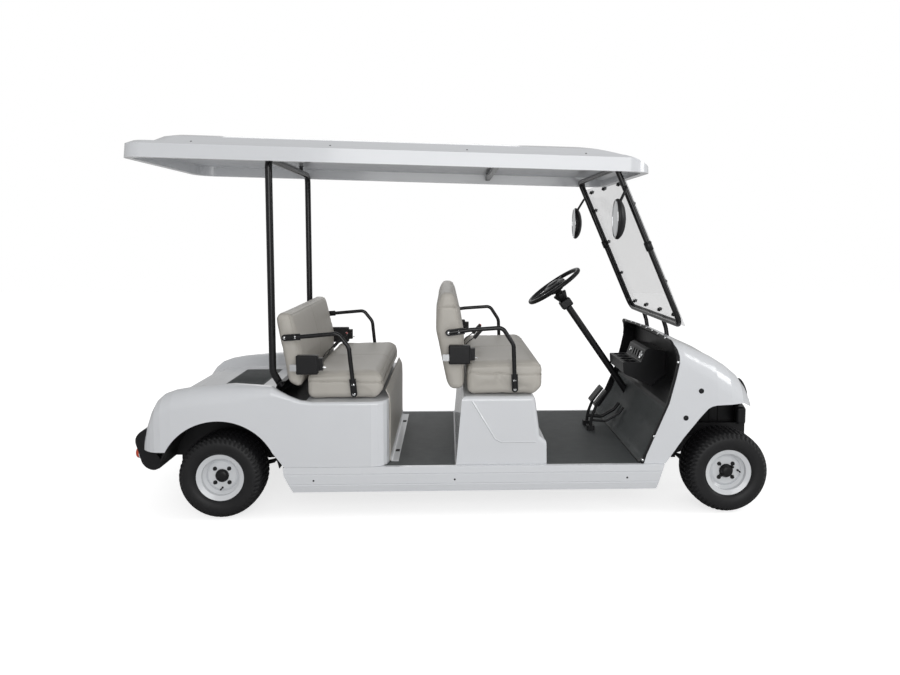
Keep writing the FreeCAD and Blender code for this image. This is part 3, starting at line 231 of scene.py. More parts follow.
def finish(name, colour, roughness, gloss_spread=0.06, mottle=0.05, mottle_scale=6.0, bumps=(), **shader):
    """Colour times a slow noise, roughness plus another, and a chain of (kind, scale, depth) bumps, with the
    depth in millimetres."""
    made = bpy.data.materials.new(name)
    made.use_nodes = True
    tree = made.node_tree
    skin = tree.nodes["Principled BSDF"]
    where = add_node(tree, "ShaderNodeTexCoord").outputs["Object"]
    for key, value in shader.items():
        skin.inputs[key.replace("_", " ").title().replace("Ior", "IOR")].default_value = value
    tint = add_node(tree, "ShaderNodeMix", data_type="RGBA")
    tint.inputs[COLOUR_A].default_value = (*[c * (1 - mottle) for c in colour], 1)
    tint.inputs[COLOUR_B].default_value = (*[min(1, c * (1 + mottle)) for c in colour], 1)
    tree.links.new(pattern(tree, where, "noise", mottle_scale), tint.inputs[0])
    tree.links.new(tint.outputs[COLOUR_OUT], skin.inputs["Base Color"])
    uneven = add_node(tree, "ShaderNodeMapRange", to_min=max(LEAST_ROUGHNESS, roughness - gloss_spread),
                      to_max=min(1, roughness + gloss_spread))
    tree.links.new(pattern(tree, where, "noise", mottle_scale * 3), uneven.inputs["Value"])
    tree.links.new(uneven.outputs[0], skin.inputs["Roughness"])
    normal = None
    for kind, scale, depth in bumps:
        relief = add_node(tree, "ShaderNodeBump", strength=1.0, distance=depth * MM)
        tree.links.new(pattern(tree, where, kind, scale), relief.inputs["Height"])
        if normal is not None:
            tree.links.new(normal, relief.inputs["Normal"])
        normal = relief.outputs["Normal"]
    if normal is not None:
        tree.links.new(normal, skin.inputs["Normal"])
    return made


# %% [markdown]
# The cart has about a dozen finishes. The moulded body is gelcoat: white, hard and a little wavy under its
# gloss. The seats are a grained grey-beige vinyl. Tubes are powder coated, tyres and mats are rubber.

# %% The cart's finishes
PAINT = {
    "body": finish("white_gelcoat", (0.73, 0.745, 0.77), 0.2, mottle=0.012,
                   coat_weight=0.5, coat_roughness=0.06, bumps=[("noise", 5, 1.6), ("noise", 140, 0.03)]),
    "rim": finish("white_enamel", (0.71, 0.725, 0.745), 0.24, mottle=0.02,
                  coat_weight=0.3, coat_roughness=0.1, bumps=[("noise", 90, 0.05)]),
    "tyre": finish("tyre_rubber", (0.011, 0.011, 0.012), 0.5, mottle=0.25, mottle_scale=14,
                   specular_ior_level=0.32, bumps=[("noise", 700, 0.12)]),
    "black_steel": finish("black_chassis_paint", (0.012, 0.012, 0.013), 0.42, mottle=0.2, mottle_scale=9,
                          specular_ior_level=0.3, bumps=[("noise", 220, 0.12)]),
    "black_tube": finish("black_powder_coat", (0.006, 0.006, 0.007), 0.20, mottle=0.1,
                         specular_ior_level=0.4, bumps=[("noise", 420, 0.05)]),
    "black_plastic": finish("black_grained_plastic", (0.009, 0.009, 0.010), 0.38, mottle=0.12,
                            specular_ior_level=0.28, bumps=[("cells", 850, 0.10), ("noise", 60, 0.1)]),
    "floor": finish("floor_sheet", (0.35, 0.35, 0.36), 0.45, metallic=0.9, bumps=[("noise", 300, 0.05)]),
    "mat": finish("grey_rubber_mat", (0.065, 0.072, 0.073), 0.55, mottle=0.14, mottle_scale=7,
                  bumps=[("ribs", 28, 1.6), ("noise", 600, 0.15)]),
    "battery": finish("battery_case", (0.03, 0.03, 0.03), 0.5, bumps=[("noise", 200, 0.1)]),
    "vinyl": finish("grey_beige_vinyl", (0.48, 0.457, 0.415), 0.45, mottle=0.05, mottle_scale=9,
                    bumps=[("cells", 620, 0.16), ("noise", 240, 0.10), ("noise", 16, 1.0)]),
    "clear": finish("clear_sheet", (0.52, 0.53, 0.55), 0.08, mottle=0.12, mottle_scale=3, alpha=0.24,
                    bumps=[("noise", 7, 0.5)]),
    "lamp_red": finish("red_orange_lens", (0.62, 0.06, 0.015), 0.14, coat_weight=0.6,
                       bumps=[("cells", 160, 0.4)]),
    "lamp_clear": finish("clear_lens", (0.72, 0.75, 0.78), 0.08, coat_weight=0.8,
                         bumps=[("cells", 90, 0.5)]),
    "chrome": finish("bright_chrome", (0.78, 0.79, 0.80), 0.12, metallic=1.0, bumps=[("noise", 300, 0.02)]),
    "zinc": finish("zinc_bolt", (0.55, 0.56, 0.57), 0.34, metallic=1.0, bumps=[("noise", 500, 0.05)]),
    "webbing": finish("belt_webbing", (0.010, 0.010, 0.011), 0.72, bumps=[("cells", 500, 0.3)]),
    "red_button": finish("red_button", (0.50, 0.03, 0.02), 0.35, bumps=[("noise", 300, 0.05)]),
    "mirror": finish("mirror_glass", (0.82, 0.84, 0.86), 0.03, gloss_spread=0.01, metallic=1.0),
}
for part in frame["record"]["subparts"]:
    solid = nodes[part["node"]]
    solid.data.materials.clear()
    solid.data.materials.append(PAINT[part["material_slot"]])
print("finishes:", len(PAINT))

# %% [markdown]
# All new pieces are grids of points. A grid closed round one way is a tube or a turned shape, and a small
# shape that repeats, such as a screw, is one array copied to many places and turned to each direction.

# %% Grids and lines
def grid_faces(rows, cols, round_rows=False, round_cols=False):
    """Quads between neighbouring rows and columns of a grid that is stored row by row."""
    i = np.arange(rows if round_rows else rows - 1)[:, None]
    j = np.arange(cols if round_cols else cols - 1)[None, :]
    down, right = (i + 1) % rows, (j + 1) % cols
    quads = [i * cols + j, i * cols + right, down * cols + right, down * cols + j]
    return np.stack([np.broadcast_to(q, (i.size, j.size)) for q in quads], -1).reshape(-1, 4)


def closed_faces(rows, cols):
    """Quads of a tube of rings and a fan to each of two extra end points, which follow the grid's own."""
    quads = grid_faces(rows, cols, round_cols=True).tolist()
    first, last = rows * cols, rows * cols + 1
    for j in range(cols):
        k = (j + 1) % cols
        quads += [(first, k, j), (last, (rows - 1) * cols + j, (rows - 1) * cols + k)]
    return quads


def with_poles(grid):
    """The grid's points followed by the middles of its first and last rings."""
    return np.concatenate([grid.reshape(-1, 3), [grid[0].mean(0), grid[-1].mean(0)]])


def unit_rows(v):
    """Each row of an array at length one. A row of zeros stays as it is."""
    return v / np.maximum(np.linalg.norm(v, axis=1), 1e-9)[:, None]


def headings(line, closed=False):
    """A line's direction at each point: from the point before to the point after."""
    ahead = np.roll(line, -1, 0) - np.roll(line, 1, 0)
    if not closed:
        ahead[0], ahead[-1] = line[1] - line[0], line[-1] - line[-2]
    return unit_rows(ahead)


def carried(path, side, up, profile):
    """A profile of (side, up) pairs carried along a path: each point is path + side * s + up * u."""
    shape = np.asarray(profile, float)
    return path[:, None] + side[:, None] * shape[None, :, :1] + up[:, None] * shape[None, :, 1:]


def along(path, profile, square_to, closed=False):
    """A profile carried along a path, where side is the path's direction crossed with a fixed direction."""
    path = np.asarray(path, float)
    ahead = headings(path, closed)
    side = unit_rows(np.cross(ahead, np.asarray(square_to, float)))
    return carried(path, side, np.cross(side, ahead), profile)


def circle(radius, count):
    """Points of a circle as (side, up) pairs."""
    a = np.linspace(0, 2 * np.pi, count, endpoint=False)
    return np.stack([radius * np.cos(a), radius * np.sin(a)], -1)


def curve_through(points, steps):
    """A smooth line through points: Catmull-Rom cubics, each span cut into a number of steps."""
    p = np.asarray(points, float)
    p = np.concatenate([[2 * p[0] - p[1]], p, [2 * p[-1] - p[-2]]])
    t = np.linspace(0, 1, steps, endpoint=False)[:, None]
    spans = []
    for a, b, c, d in zip(p[:-3], p[1:-2], p[2:-1], p[3:]):
        spans.append(0.5 * (2 * b + (c - a) * t + (2 * a - 5 * b + 4 * c - d) * t ** 2
                            + (3 * b - a - 3 * c + d) * t ** 3))
    return np.concatenate(spans + [p[-2:-1]])


# %% Pieces, turned shapes and screws
def piece(name, points, faces, paint, body="root", smooth=True, replaces=()):
    """A finished surface with its paint, the body it moves with and the frame solids it stands for."""
    thing = surface(name, np.reshape(points, (-1, 3)), faces, smooth)
    thing.data.materials.append(PAINT[paint])
    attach(thing, body)
    if replaces:
        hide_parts(*replaces)
    return thing


def joined_pieces(name, parts, paint, smooth=False):
    """Several (points, faces) surfaces as one piece."""
    points, faces, total = [], [], 0
    for some_points, some_faces in parts:
        points.append(np.reshape(some_points, (-1, 3)))
        faces += [[int(k) + total for k in face] for face in some_faces]
        total += len(points[-1])
    return piece(name, np.concatenate(points), faces, paint, smooth=smooth)


def frame_of(direction):
    """Three directions as rows, the last of them along the one given."""
    w = unit(direction)
    u = unit(np.cross([0, 0, 1] if abs(w[2]) < 0.9 else [1, 0, 0], w))
    return np.array([u, np.cross(w, u), w])


def turned_grid(profile, count):
    """Pairs of (radius, height) in millimetres turned round Z: at angle a, (r cos a, r sin a, h)."""
    radius, height = np.array(profile, float).T * MM
    a = np.linspace(0, 2 * np.pi, count, endpoint=False)[:, None]
    return np.stack([radius * np.cos(a), radius * np.sin(a), height + 0 * a], -1)


def many(grid, places):
    """A turned grid copied to each (point, direction), with its Z axis along the direction."""
    flat = grid.reshape(-1, 3)
    faces = grid_faces(*grid.shape[:2], round_rows=True)
    points = [np.asarray(at, float) + flat @ frame_of(way) for at, way in places]
    return np.concatenate(points), np.concatenate([faces + k * len(flat) for k in range(len(points))])


def turned(name, profile, count, places, paint, body="root"):
    """One piece of turned shapes, one for each (point, direction)."""
    points, faces = many(turned_grid(profile, count), places)
    return piece(name, points, faces, paint, body)


def screws(name, places, radius, height, paint):
    """Domed screw heads, in millimetres: a short straight wall, then a quarter circle in to the middle."""
    turns = np.linspace(0, np.pi / 2, 5)[:-1]
    dome = [(radius * math.cos(t), height * (0.35 + 0.65 * math.sin(t))) for t in turns]
    return turned(name, [(radius, -height)] + dome + [(radius * 0.02, height)], 14, places, paint)


def hex_bolts(name, places, across, height, paint="zinc", body="root"):
    """Hexagon heads on a washer, in millimetres: the head is a turned profile with six sides."""
    washer = [(across * 0.72, -0.5), (across * 0.72, 1.2), (across * 0.01, 1.3)]
    head = [(across * 0.577, 0), (across * 0.577, height * 0.85), (across * 0.47, height),
            (across * 0.01, height)]
    p1, f1 = many(turned_grid(washer, 18), places)
    p2, f2 = many(turned_grid(head, 6), places)
    points, faces = np.concatenate([p1, p2]), np.concatenate([f1, f2 + len(p1)])
    return piece(name, points, faces, paint, body, smooth=False)


# %% [markdown]
# The tyres are low turf tyres: a smooth bulging sidewall, and a tread of small staggered blocks that run on
# over the shoulder. The section is one smooth line from bead to bead. The tread is a height that depends on
# the angle and on the place across, cut where a block's edge is near, so the blocks are real shapes.

# %% Tyres
WHEELS = [(end, hand) for end in ("front", "rear") for hand in ("left", "right")]
TYRE_SECTION = [(102, 77), (112, 80.5), (121, 86), (132, 97), (148, 104), (166, 106), (184, 103.5), (197, 96),
                (206, 84), (211.5, 66), (214.5, 40), (216, 12)]
CROWN_RADIUS, CROWN_HALF, CROWN_POINTS = 216.0, 10, 7
PITCHES, STEPS_PER_PITCH = 50, 8
TREAD_DEPTH, ROW_WIDTH, SLANT = 9.0, 34.0, 0.019
BLOCK_EDGE, GROOVE_EDGE, GROOVE_REACH = (0.27, 0.36), (0.40, 0.46), 78
SHOULDER, LEAN_FROM, LEAN_OVER = (180, 196), 60, 46


def soft_step(x, low, high):
    """0 below low, 1 above high, and a smooth rise between."""
    t = np.clip((x - low) / (high - low), 0, 1)
    return t * t * (3 - 2 * t)


def tread_cut(turn, across):
    """How deep the tread is cut, 0 to 1. Rows 34 mm wide are split by narrow grooves round the tyre; in each
    row, blocks follow each other at the pitch, shifted by half a pitch from row to row and slanted."""
    row = np.round(across / ROW_WIDTH)
    from_row = np.abs(across - row * ROW_WIDTH) / ROW_WIDTH
    phase = turn * PITCHES / (2 * np.pi) + 0.5 * (row % 2) + SLANT * np.abs(across)
    block = soft_step(np.abs(phase - np.round(phase)), *BLOCK_EDGE)
    groove = soft_step(from_row, *GROOVE_EDGE) * (np.abs(across) < GROOVE_REACH)
    return np.maximum(block, groove)


def tyre(node, body):
    """Angle runs round the wheel and the section from the outer bead to the inner one. The tread fades out
    down the shoulder, where its cuts turn from inward to half inward and sideways."""
    middle = np.mean(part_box(node), axis=0)
    half = curve_through(TYRE_SECTION, 4)[:-1]
    crown = [(CROWN_RADIUS, y) for y in np.linspace(CROWN_HALF, -CROWN_HALF, CROWN_POINTS)]
    section = np.concatenate([half, crown, half[::-1] * [1, -1]])
    turn = np.linspace(0, 2 * np.pi, PITCHES * STEPS_PER_PITCH, endpoint=False)[:, None]
    radius, across = section.T[:, None]
    deep = TREAD_DEPTH * tread_cut(turn, across) * soft_step(radius, *SHOULDER)
    lean = np.clip((np.abs(across) - LEAN_FROM) / LEAN_OVER, 0, 1)
    r = radius - deep * (1 - 0.5 * lean)
    y = across - np.sign(across) * deep * 0.6 * lean
    points = np.stack([r * np.cos(turn), y + 0 * turn, r * np.sin(turn)], -1) * MM + middle
    faces = grid_faces(*points.shape[:2], round_rows=True, round_cols=True)
    return piece(node + "_dressed", points, faces, "tyre", body, replaces=[node])


for end, hand in WHEELS:
    made = tyre(f"tyre_{end}_{hand}", f"wheel_{end}_{hand}")
print("faces in each tyre:", len(made.data.polygons))

# %% [markdown]
# The benches are foam under stretched vinyl. Each pad starts as its side view carried across the cart, a
# little small, with rolled ends. It is remeshed into even squares, blown up like a ball by a cloth
# simulation, and held back near its start so that it keeps its place. Seams are pressed in afterwards,
# because the remesh would rub them out.

# %% Benches: the starting shape
CAP_STEPS = (0.03, 0.25, 0.5, 0.75)


def rounded(corners, radius, steps=6):
    """A closed polygon whose corners are arcs: each starts and ends on the two edges, radius from the corner
    times the tangent of half the turn, and is drawn as a circle that touches both."""
    p = np.asarray(corners, float)
    out = []
    for before, here, after in zip(np.roll(p, 1, 0), p, np.roll(p, -1, 0)):
        a, b = unit(before - here), unit(after - here)
        half = math.acos(np.clip(np.dot(a, b), -1, 1)) / 2
        shorter = min(np.linalg.norm(before - here), np.linalg.norm(after - here))
        reach = min(radius / math.tan(half), 0.48 * shorter)
        r = reach * math.tan(half)
        centre = here + unit(a + b) * r / math.sin(half)
        start, end = here + a * reach - centre, here + b * reach - centre
        for t in np.linspace(0, 1, steps):
            out.append(centre + r * unit(start * (1 - t) + end * t))
    return np.array(out)


def evenly(line, count=None, step=None, closed=False):
    """A line resampled to a number of points the same distance apart, or to points about a step apart."""
    line = np.concatenate([line, line[:1]]) if closed else np.asarray(line, float)
    run = np.concatenate([[0], np.cumsum(np.linalg.norm(np.diff(line, axis=0), axis=1))])
    at = np.linspace(0, run[-1], count or max(int(run[-1] / step), 3), endpoint=not closed)
    return np.stack([np.interp(at, run, column) for column in line.T], -1)


def inward(ring):
    """Unit directions into a closed convex ring of (x, z) points."""
    ahead = np.roll(ring, -1, 0) - np.roll(ring, 1, 0)
    side = unit_rows(np.stack([-ahead[:, 1], ahead[:, 0]], -1))
    return side * np.sign(np.sum(side * (ring.mean(0) - ring), axis=1))[:, None]


def pad_grid(ring, half, roll):
    """Rows across the cart. Near each end a row is the ring moved inward by roll minus the height of a
    quarter circle, and the end itself is closed by smaller and smaller copies of the last row."""
    flat = np.linspace(-(half - roll), half - roll, 60)
    arc = np.linspace(0, np.pi / 2, 7)[1:]
    beyond, drawn_in = half - roll + roll * np.sin(arc), roll * (1 - np.cos(arc))
    across = np.concatenate([-beyond[::-1], flat, beyond])
    inset = np.concatenate([drawn_in[::-1], 0 * flat, drawn_in])
    into = inward(ring)
    rows = [np.insert(ring + into * d, 1, y, axis=1) for y, d in zip(across, inset)]
    first, last = ([row.mean(0) + (row - row.mean(0)) * k for k in CAP_STEPS] for row in (rows[0], rows[-1]))
    return np.array(first + rows + last[::-1])


# %% Benches: the cloth simulation
VOXEL = 9 * MM
PRESSURE, STIFFNESS, BENDING = 4.0, 12, 0.4
FRAMES = 16


def points_of(mesh, what="co"):
    """A mesh's points as an array, or their directions with what="normal"."""
    out = np.zeros(len(mesh.vertices) * 3, np.float32)
    mesh.vertices.foreach_get(what, out)
    return out.reshape(-1, 3).astype(float)


def set_points(mesh, points):
    """Puts an array back into a mesh."""
    mesh.vertices.foreach_set("co", np.asarray(points, np.float32).ravel())
    mesh.update()


def apply_modifiers(thing):
    """Replaces an object's mesh by what its modifiers make of it, and removes them."""
    graph = bpy.context.evaluated_depsgraph_get()
    made = bpy.data.meshes.new_from_object(thing.evaluated_get(graph))
    thing.modifiers.clear()
    thing.data = made


def blow_up(thing, cap):
    """Remesh, then cloth with pressure and no gravity; no point ends further than cap from its start."""
    remesh = thing.modifiers.new("even", "REMESH")
    remesh.mode, remesh.voxel_size = "VOXEL", VOXEL
    apply_modifiers(thing)
    start = points_of(thing.data)
    cloth = thing.modifiers.new("cloth", "CLOTH")
    cloth.settings.quality = 4
    cloth.settings.use_pressure = True
    cloth.settings.uniform_pressure_force = PRESSURE
    cloth.settings.effector_weights.gravity = 0
    cloth.settings.tension_stiffness = cloth.settings.compression_stiffness = STIFFNESS
    cloth.settings.bending_stiffness = BENDING
    for number in range(1, FRAMES + 1):
        bpy.context.scene.frame_set(number)
        thing.evaluated_get(bpy.context.evaluated_depsgraph_get())
    apply_modifiers(thing)
    moved = points_of(thing.data) - start
    far = np.linalg.norm(moved, axis=1)[:, None]
    set_points(thing.data, start + moved * np.minimum(1, cap / np.maximum(far, 1e-9)))
    bpy.context.scene.frame_set(1)
    finer = thing.modifiers.new("finer", "SUBSURF")
    finer.levels = finer.render_levels = 1
    apply_modifiers(thing)


# %% Benches: pads, pressed seams and piping
SEAT_HALF = 532 * MM
RING_POINTS, DRAWN_IN, END_ROLL, SWELL, FILL = 84, 5, 30 * MM, 7 * MM, 0.85
SEAM_STEP = 6 * MM


def nearest(thing, points):
    """The closest spot on a surface to each point, and the surface's direction there."""
    found = [thing.closest_point_on_mesh(tuple(p)) for p in points]
    return np.array([f[1] for f in found]), np.array([f[2] for f in found])


def press(thing, lines, depth, width):
    """Moves a surface inward near lines of points: by depth times a bell curve of the distance to them."""
    points = points_of(thing.data)
    line = np.concatenate(lines)
    square = np.full(len(points), 1.0)
    for k in range(0, len(line), 40):
        gap = points[:, None] - line[None, k:k + 40]
        square = np.minimum(square, np.einsum("ijk,ijk->ij", gap, gap).min(axis=1))
    drop = depth * np.exp(-square / width ** 2)
    set_points(thing.data, points - points_of(thing.data, "normal") * drop[:, None])


def welts(name, thing, lines, radius):
    """Piping half sunk in a pad: a round tube along lines that lie on it, its side square to the surface."""
    tubes = []
    for line in lines:
        spots, normals = nearest(thing, line)
        side = unit_rows(np.cross(headings(spots), normals))
        grid = carried(spots + normals * radius * 0.25, side, normals, circle(radius, 8))
        tubes.append((with_poles(grid), closed_faces(len(spots), 8)))
    return joined_pieces(name, tubes, "vinyl", smooth=True)


def side_view(base, line):
    """Points of a side view, in millimetres from a base, as (x, z) in metres."""
    return np.array(line, float) * MM + [base, 0]


def pad(node, base, corners, bend):
    """One pad from its side view: the ring is drawn in a little, carried across, closed and blown up."""
    ring = evenly(rounded(side_view(base, corners), bend * MM), count=RING_POINTS, closed=True)
    ring = ring + inward(ring) * DRAWN_IN * MM
    grid = pad_grid(ring, SEAT_HALF, END_ROLL)
    thing = surface(node + "_pad", with_poles(grid), closed_faces(*grid.shape[:2]))
    blow_up(thing, SWELL)
    thing.data.shade_smooth()
    thing.data.materials.append(PAINT["vinyl"])
    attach(thing, "root")
    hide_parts(node)
    print(node, "has", len(thing.data.polygons), "faces")
    return thing


def seam_round(base, line, half):
    """A seam over a pad: along a side view line on the near side, across, and back on the far side."""
    line = side_view(base, line)
    near, far = np.insert(line, 1, -half, axis=1), np.insert(line[::-1], 1, half, axis=1)
    return evenly(np.concatenate([near, far]), step=SEAM_STEP)


def middle_seam(base, line):
    """The seam between the two halves of a pad."""
    return evenly(np.insert(side_view(base, line), 1, 0, axis=1), step=SEAM_STEP)


# %% [markdown]
# Each cushion has a crowned top, a border with a seam round it, and a seam that splits it in two. The backs
# are made alike. Outer edges carry piping of the same vinyl, a thin tube half sunk in the pad, and plain
# seams are narrow valleys pressed along a line.

# %% Benches: the front pair
REAR_AXLE, MIDDLE = -1193.5 * MM, 116.5 * MM
cushion = pad("front_seat_cushion", MIDDLE, [(-62, 622), (304, 622), (345, 662), (345, 782), (300, 800),
                                             (-62, 792)], 34)
box_seam = seam_round(MIDDLE, [(-62, 742), (345, 728)], SEAT_HALF)
top_seam = seam_round(MIDDLE, [(-50, 800), (320, 806), (352, 790)], SEAT_HALF + 12 * MM)
halves = middle_seam(MIDDLE, [(-40, 830), (300, 830), (360, 790), (370, 630)])
box_spots, top_spots, half_spots = [nearest(cushion, line)[0] for line in (box_seam, top_seam, halves)]
press(cushion, [box_spots, half_spots], 4 * MM, 6 * MM)
press(cushion, [top_spots], 2 * MM, 9 * MM)
welts("front_cushion_welts", cushion, [top_seam, box_seam], 2.4 * MM)

back = pad("front_seat_back", MIDDLE, [(-150, 642), (-70, 642), (-72, 948), (-122, 1164), (-192, 1165),
                                       (-212, 1090), (-214, 959)], 32)
cross_seam = seam_round(MIDDLE, [(-216, 1075), (-100, 1085)], SEAT_HALF)
face_seam = seam_round(MIDDLE, [(-62, 660), (-58, 950), (-112, 1150)], SEAT_HALF + 4 * MM)
halves = middle_seam(MIDDLE, [(-50, 660), (-50, 950), (-100, 1160), (-200, 1180)])
press(back, [nearest(back, line)[0] for line in (cross_seam, halves)], 3.5 * MM, 6 * MM)
welts("front_back_welts", back, [face_seam, cross_seam], 2.2 * MM)

# %% Benches: the rear pair
cushion = pad("rear_seat_cushion", REAR_AXLE, [(426, 605), (795, 605), (834, 652), (828, 733), (790, 751),
                                               (426, 745)], 34)
box_seam = seam_round(REAR_AXLE, [(424, 700), (834, 690)], SEAT_HALF)
top_seam = seam_round(REAR_AXLE, [(436, 752), (800, 762), (842, 742)], SEAT_HALF + 12 * MM)
halves = middle_seam(REAR_AXLE, [(440, 780), (790, 780), (860, 740), (860, 620)])
press(cushion, [nearest(cushion, line)[0] for line in (box_seam, halves)], 4 * MM, 6 * MM)
press(cushion, [nearest(cushion, top_seam)[0]], 2 * MM, 9 * MM)
welts("rear_cushion_welts", cushion, [top_seam, box_seam], 2.4 * MM)

back = pad("rear_seat_back", REAR_AXLE, [(338, 682), (412, 645), (410, 828), (356, 1060), (292, 1060),
                                         (277, 1031)], 30)
face_seam = seam_round(REAR_AXLE, [(420, 670), (420, 830), (366, 1052)], SEAT_HALF + 4 * MM)
halves = middle_seam(REAR_AXLE, [(430, 700), (430, 830), (370, 1070), (280, 1080)])
press(back, [nearest(back, halves)[0]], 3.5 * MM, 6 * MM)
welts("rear_back_welts", back, [face_seam], 2.2 * MM)

# %% [markdown]
# The rest is small trim. Wheel bolts, valves and hub caps are turned shapes on the disc, and they ride their
# wheel. Whatever sits on a moulded surface asks that surface for the spot and the direction there, so
# screws, plugs and mats follow the frame when its sizes change.

# %% Wheel trim: bolts, valves and hub caps
FRONT_AXLE = 1426.5 * MM
HALF_TRACK, WHEEL_HEIGHT = 492 * MM, 216 * MM
DISC_OUT, LUG_OUT, VALVE_OUT = 50 * MM, 50.8 * MM, 64 * MM
LUG_TURNS = np.radians([45, 135, 225, 315])
HUB_CAP_OUT = {"front": 78, "rear": 60}
VALVE_STEM = [(6, 0), (5, 6), (3.6, 8), (3.6, 24), (4.4, 25), (4.4, 32), (0.1, 33)]
EAR_SPOTS = [(30 * MM, 22 * MM), (-30 * MM, -22 * MM)]


def wheel_trim(end, hand):
    """Four bolts and a valve on the wheel disc, and a domed cap with two ears on the front hubs."""
    side = 1 if hand == "left" else -1
    body = f"wheel_{end}_{hand}"
    axle = FRONT_AXLE if end == "front" else REAR_AXLE
    centre, out = np.array([axle, side * HALF_TRACK, WHEEL_HEIGHT]), np.array([0, side, 0])
    disc = centre + out * DISC_OUT
    lugs = [(disc + LUG_OUT * np.array([math.cos(a), 0, math.sin(a)]), out) for a in LUG_TURNS]
    hex_bolts(body + "_bolts", lugs, 15, 12, "black_steel", body)
    valve_at = [VALVE_OUT, 0, 0] if end == "front" else [0, 0, -VALVE_OUT]
    turned(body + "_valve", VALVE_STEM, 14, [(disc + valve_at, out)], "black_plastic", body)
    cap = HUB_CAP_OUT[end]
    dome = [(34, cap - 26), (35.5, cap - 25), (35.5, cap - 19), (30, cap - 17), (28, cap - 3), (23, cap + 1),
            (10, cap + 2.5), (0.1, cap + 2.6)]
    turned(body + "_cap", dome, 36, [(centre, out)], "black_plastic", body)
    if end == "front":
        ear = [(7, cap - 24), (7, cap - 8), (5, cap - 6), (0.1, cap - 6)]
        turned(body + "_cap_ears", ear, 12, [(centre + [x, 0, z], out) for x, z in EAR_SPOTS],
               "black_plastic", body)


for end, hand in WHEELS:
    wheel_trim(end, hand)
print("wheels dressed:", len(WHEELS))

# %% Screws, plugs and rivets on the mouldings
def fasteners(name, node, points, radius, height, paint):
    """Screw heads set square on a frame piece at the spots nearest to points."""
    return screws(name, list(zip(*nearest(nodes[node], points))), radius, height, paint)


def both_sides(spots):
    """(x, y, z) spots and their mirror images across the cart's middle."""
    return [(x, side * y, z) for side in (-1, 1) for x, y, z in spots]


sill_spots = [(MIDDLE + x, 0.62, 0.198) for x in (-0.838, -0.119, 0.775)]
roof_spots = [(x, 0.56, 1.96 - 0.022 * (x + 1.6)) for x in (-1.30, -0.62, 0.06, 0.66)]
plug_spots = [(1.2745, 0.64, 0.647), (1.1975, 0.64, 0.505)]
fasteners("sill_screws", "side_sills", both_sides(sill_spots), 5, 2, "black_steel")
fasteners("roof_screws", "roof", both_sides(roof_spots), 4.5, 2, "black_steel")
fasteners("cowl_plugs", "front_cowl", both_sides(plug_spots), 14, 3, "black_plastic")

RIVET_BACK, RIVET_DOWN = 0.05, 0.006
lip_top = [(FRONT_AXLE - 0.299, y, 1.20) for y in np.linspace(-0.42, 0.42, 8)]
lip_top = [tuple(spot - [RIVET_BACK, 0, RIVET_DOWN]) for spot in nearest(nodes["dash_liner"], lip_top)[0]]
lip_side = both_sides([(FRONT_AXLE - x, 0.62, z) for x, z in ((0.277, 0.80), (0.395, 0.41), (0.452, 0.285))])
fasteners("dash_rivets", "dash_liner", lip_top + lip_side, 6.5, 4, "chrome")
print("rivets:", len(lip_top + lip_side))

# %% [markdown]
# The windscreen is a clear sheet held against a black hoop by round knobs, seen from both of its faces, with
# a rubber channel round its edge and two clamps on the hoop's legs. All is laid out in the screen's plane,
# across and up from the middle of the lower bar, and the knobs then settle on the sheet.

# %% Arm bolts, windscreen knobs, clamps and channel
ARM_OUT = 565 * MM
ARM_ENDS = [(MIDDLE - 0.150, 0.952), (MIDDLE - 0.098, 0.958), (MIDDLE + 0.190, 0.660),
            (MIDDLE + 0.188, 0.706), (REAR_AXLE + 0.335, 0.929), (REAR_AXLE + 0.387, 0.932),
            (REAR_AXLE + 0.679, 0.640), (REAR_AXLE + 0.675, 0.688)]
screws("arm_bolts", [((x, side * ARM_OUT, z), (0, side, 0)) for side in (-1, 1) for x, z in ARM_ENDS],
       8.5, 5, "chrome")

SCREEN_LOW = np.array([FRONT_AXLE - 0.249, 0, 0.981])
SCREEN_HIGH = np.array([FRONT_AXLE - 0.604, 0, 1.794])
SCREEN_LENGTH = np.linalg.norm(SCREEN_HIGH - SCREEN_LOW)
FRAME_HALF, HOOP_BEND = 510 * MM, 58 * MM
SHEET_OUT, SHEET_UP, SHEET_WIDE, SHEET_LONG = 11 * MM, 6 * MM, 0.972, 0.985
KNOB = [(11, -0.3), (11.5, 3), (9, 8), (5, 9), (4, 13), (0.1, 13.5)]
CLAMP = [(14.5, -24), (19, -23), (19.5, 0), (19, 23), (14.5, 24)]
screen_up = unit(SCREEN_HIGH - SCREEN_LOW)
screen_out = np.array([screen_up[2], 0, -screen_up[0]])


def on_screen(across, up, out=0.0):
    """A spot across from the windscreen's middle, up from its lower bar and out from its frame's plane."""
    return SCREEN_LOW + screen_up * up + screen_out * out + [0, across, 0]


studs = [(y, 0.045) for y in (-0.40, -0.14, 0.14, 0.40)] + [(y, 0.80) for y in (-0.36, 0.0, 0.36)]
studs += [(y, up) for y in (-0.47, 0.47) for up in (0.24, 0.46, 0.68)]
for name, out in (("outer", 40 * MM), ("inner", -10 * MM)):
    places = list(zip(*nearest(nodes["windscreen"], [on_screen(y, up, out) for y, up in studs])))
    turned(f"windscreen_knobs_{name}", KNOB, 16, places, "black_plastic")
turned("windscreen_clamps", CLAMP, 20, [(on_screen(y, 0.45), screen_up) for y in (-FRAME_HALF, FRAME_HALF)],
       "black_plastic")

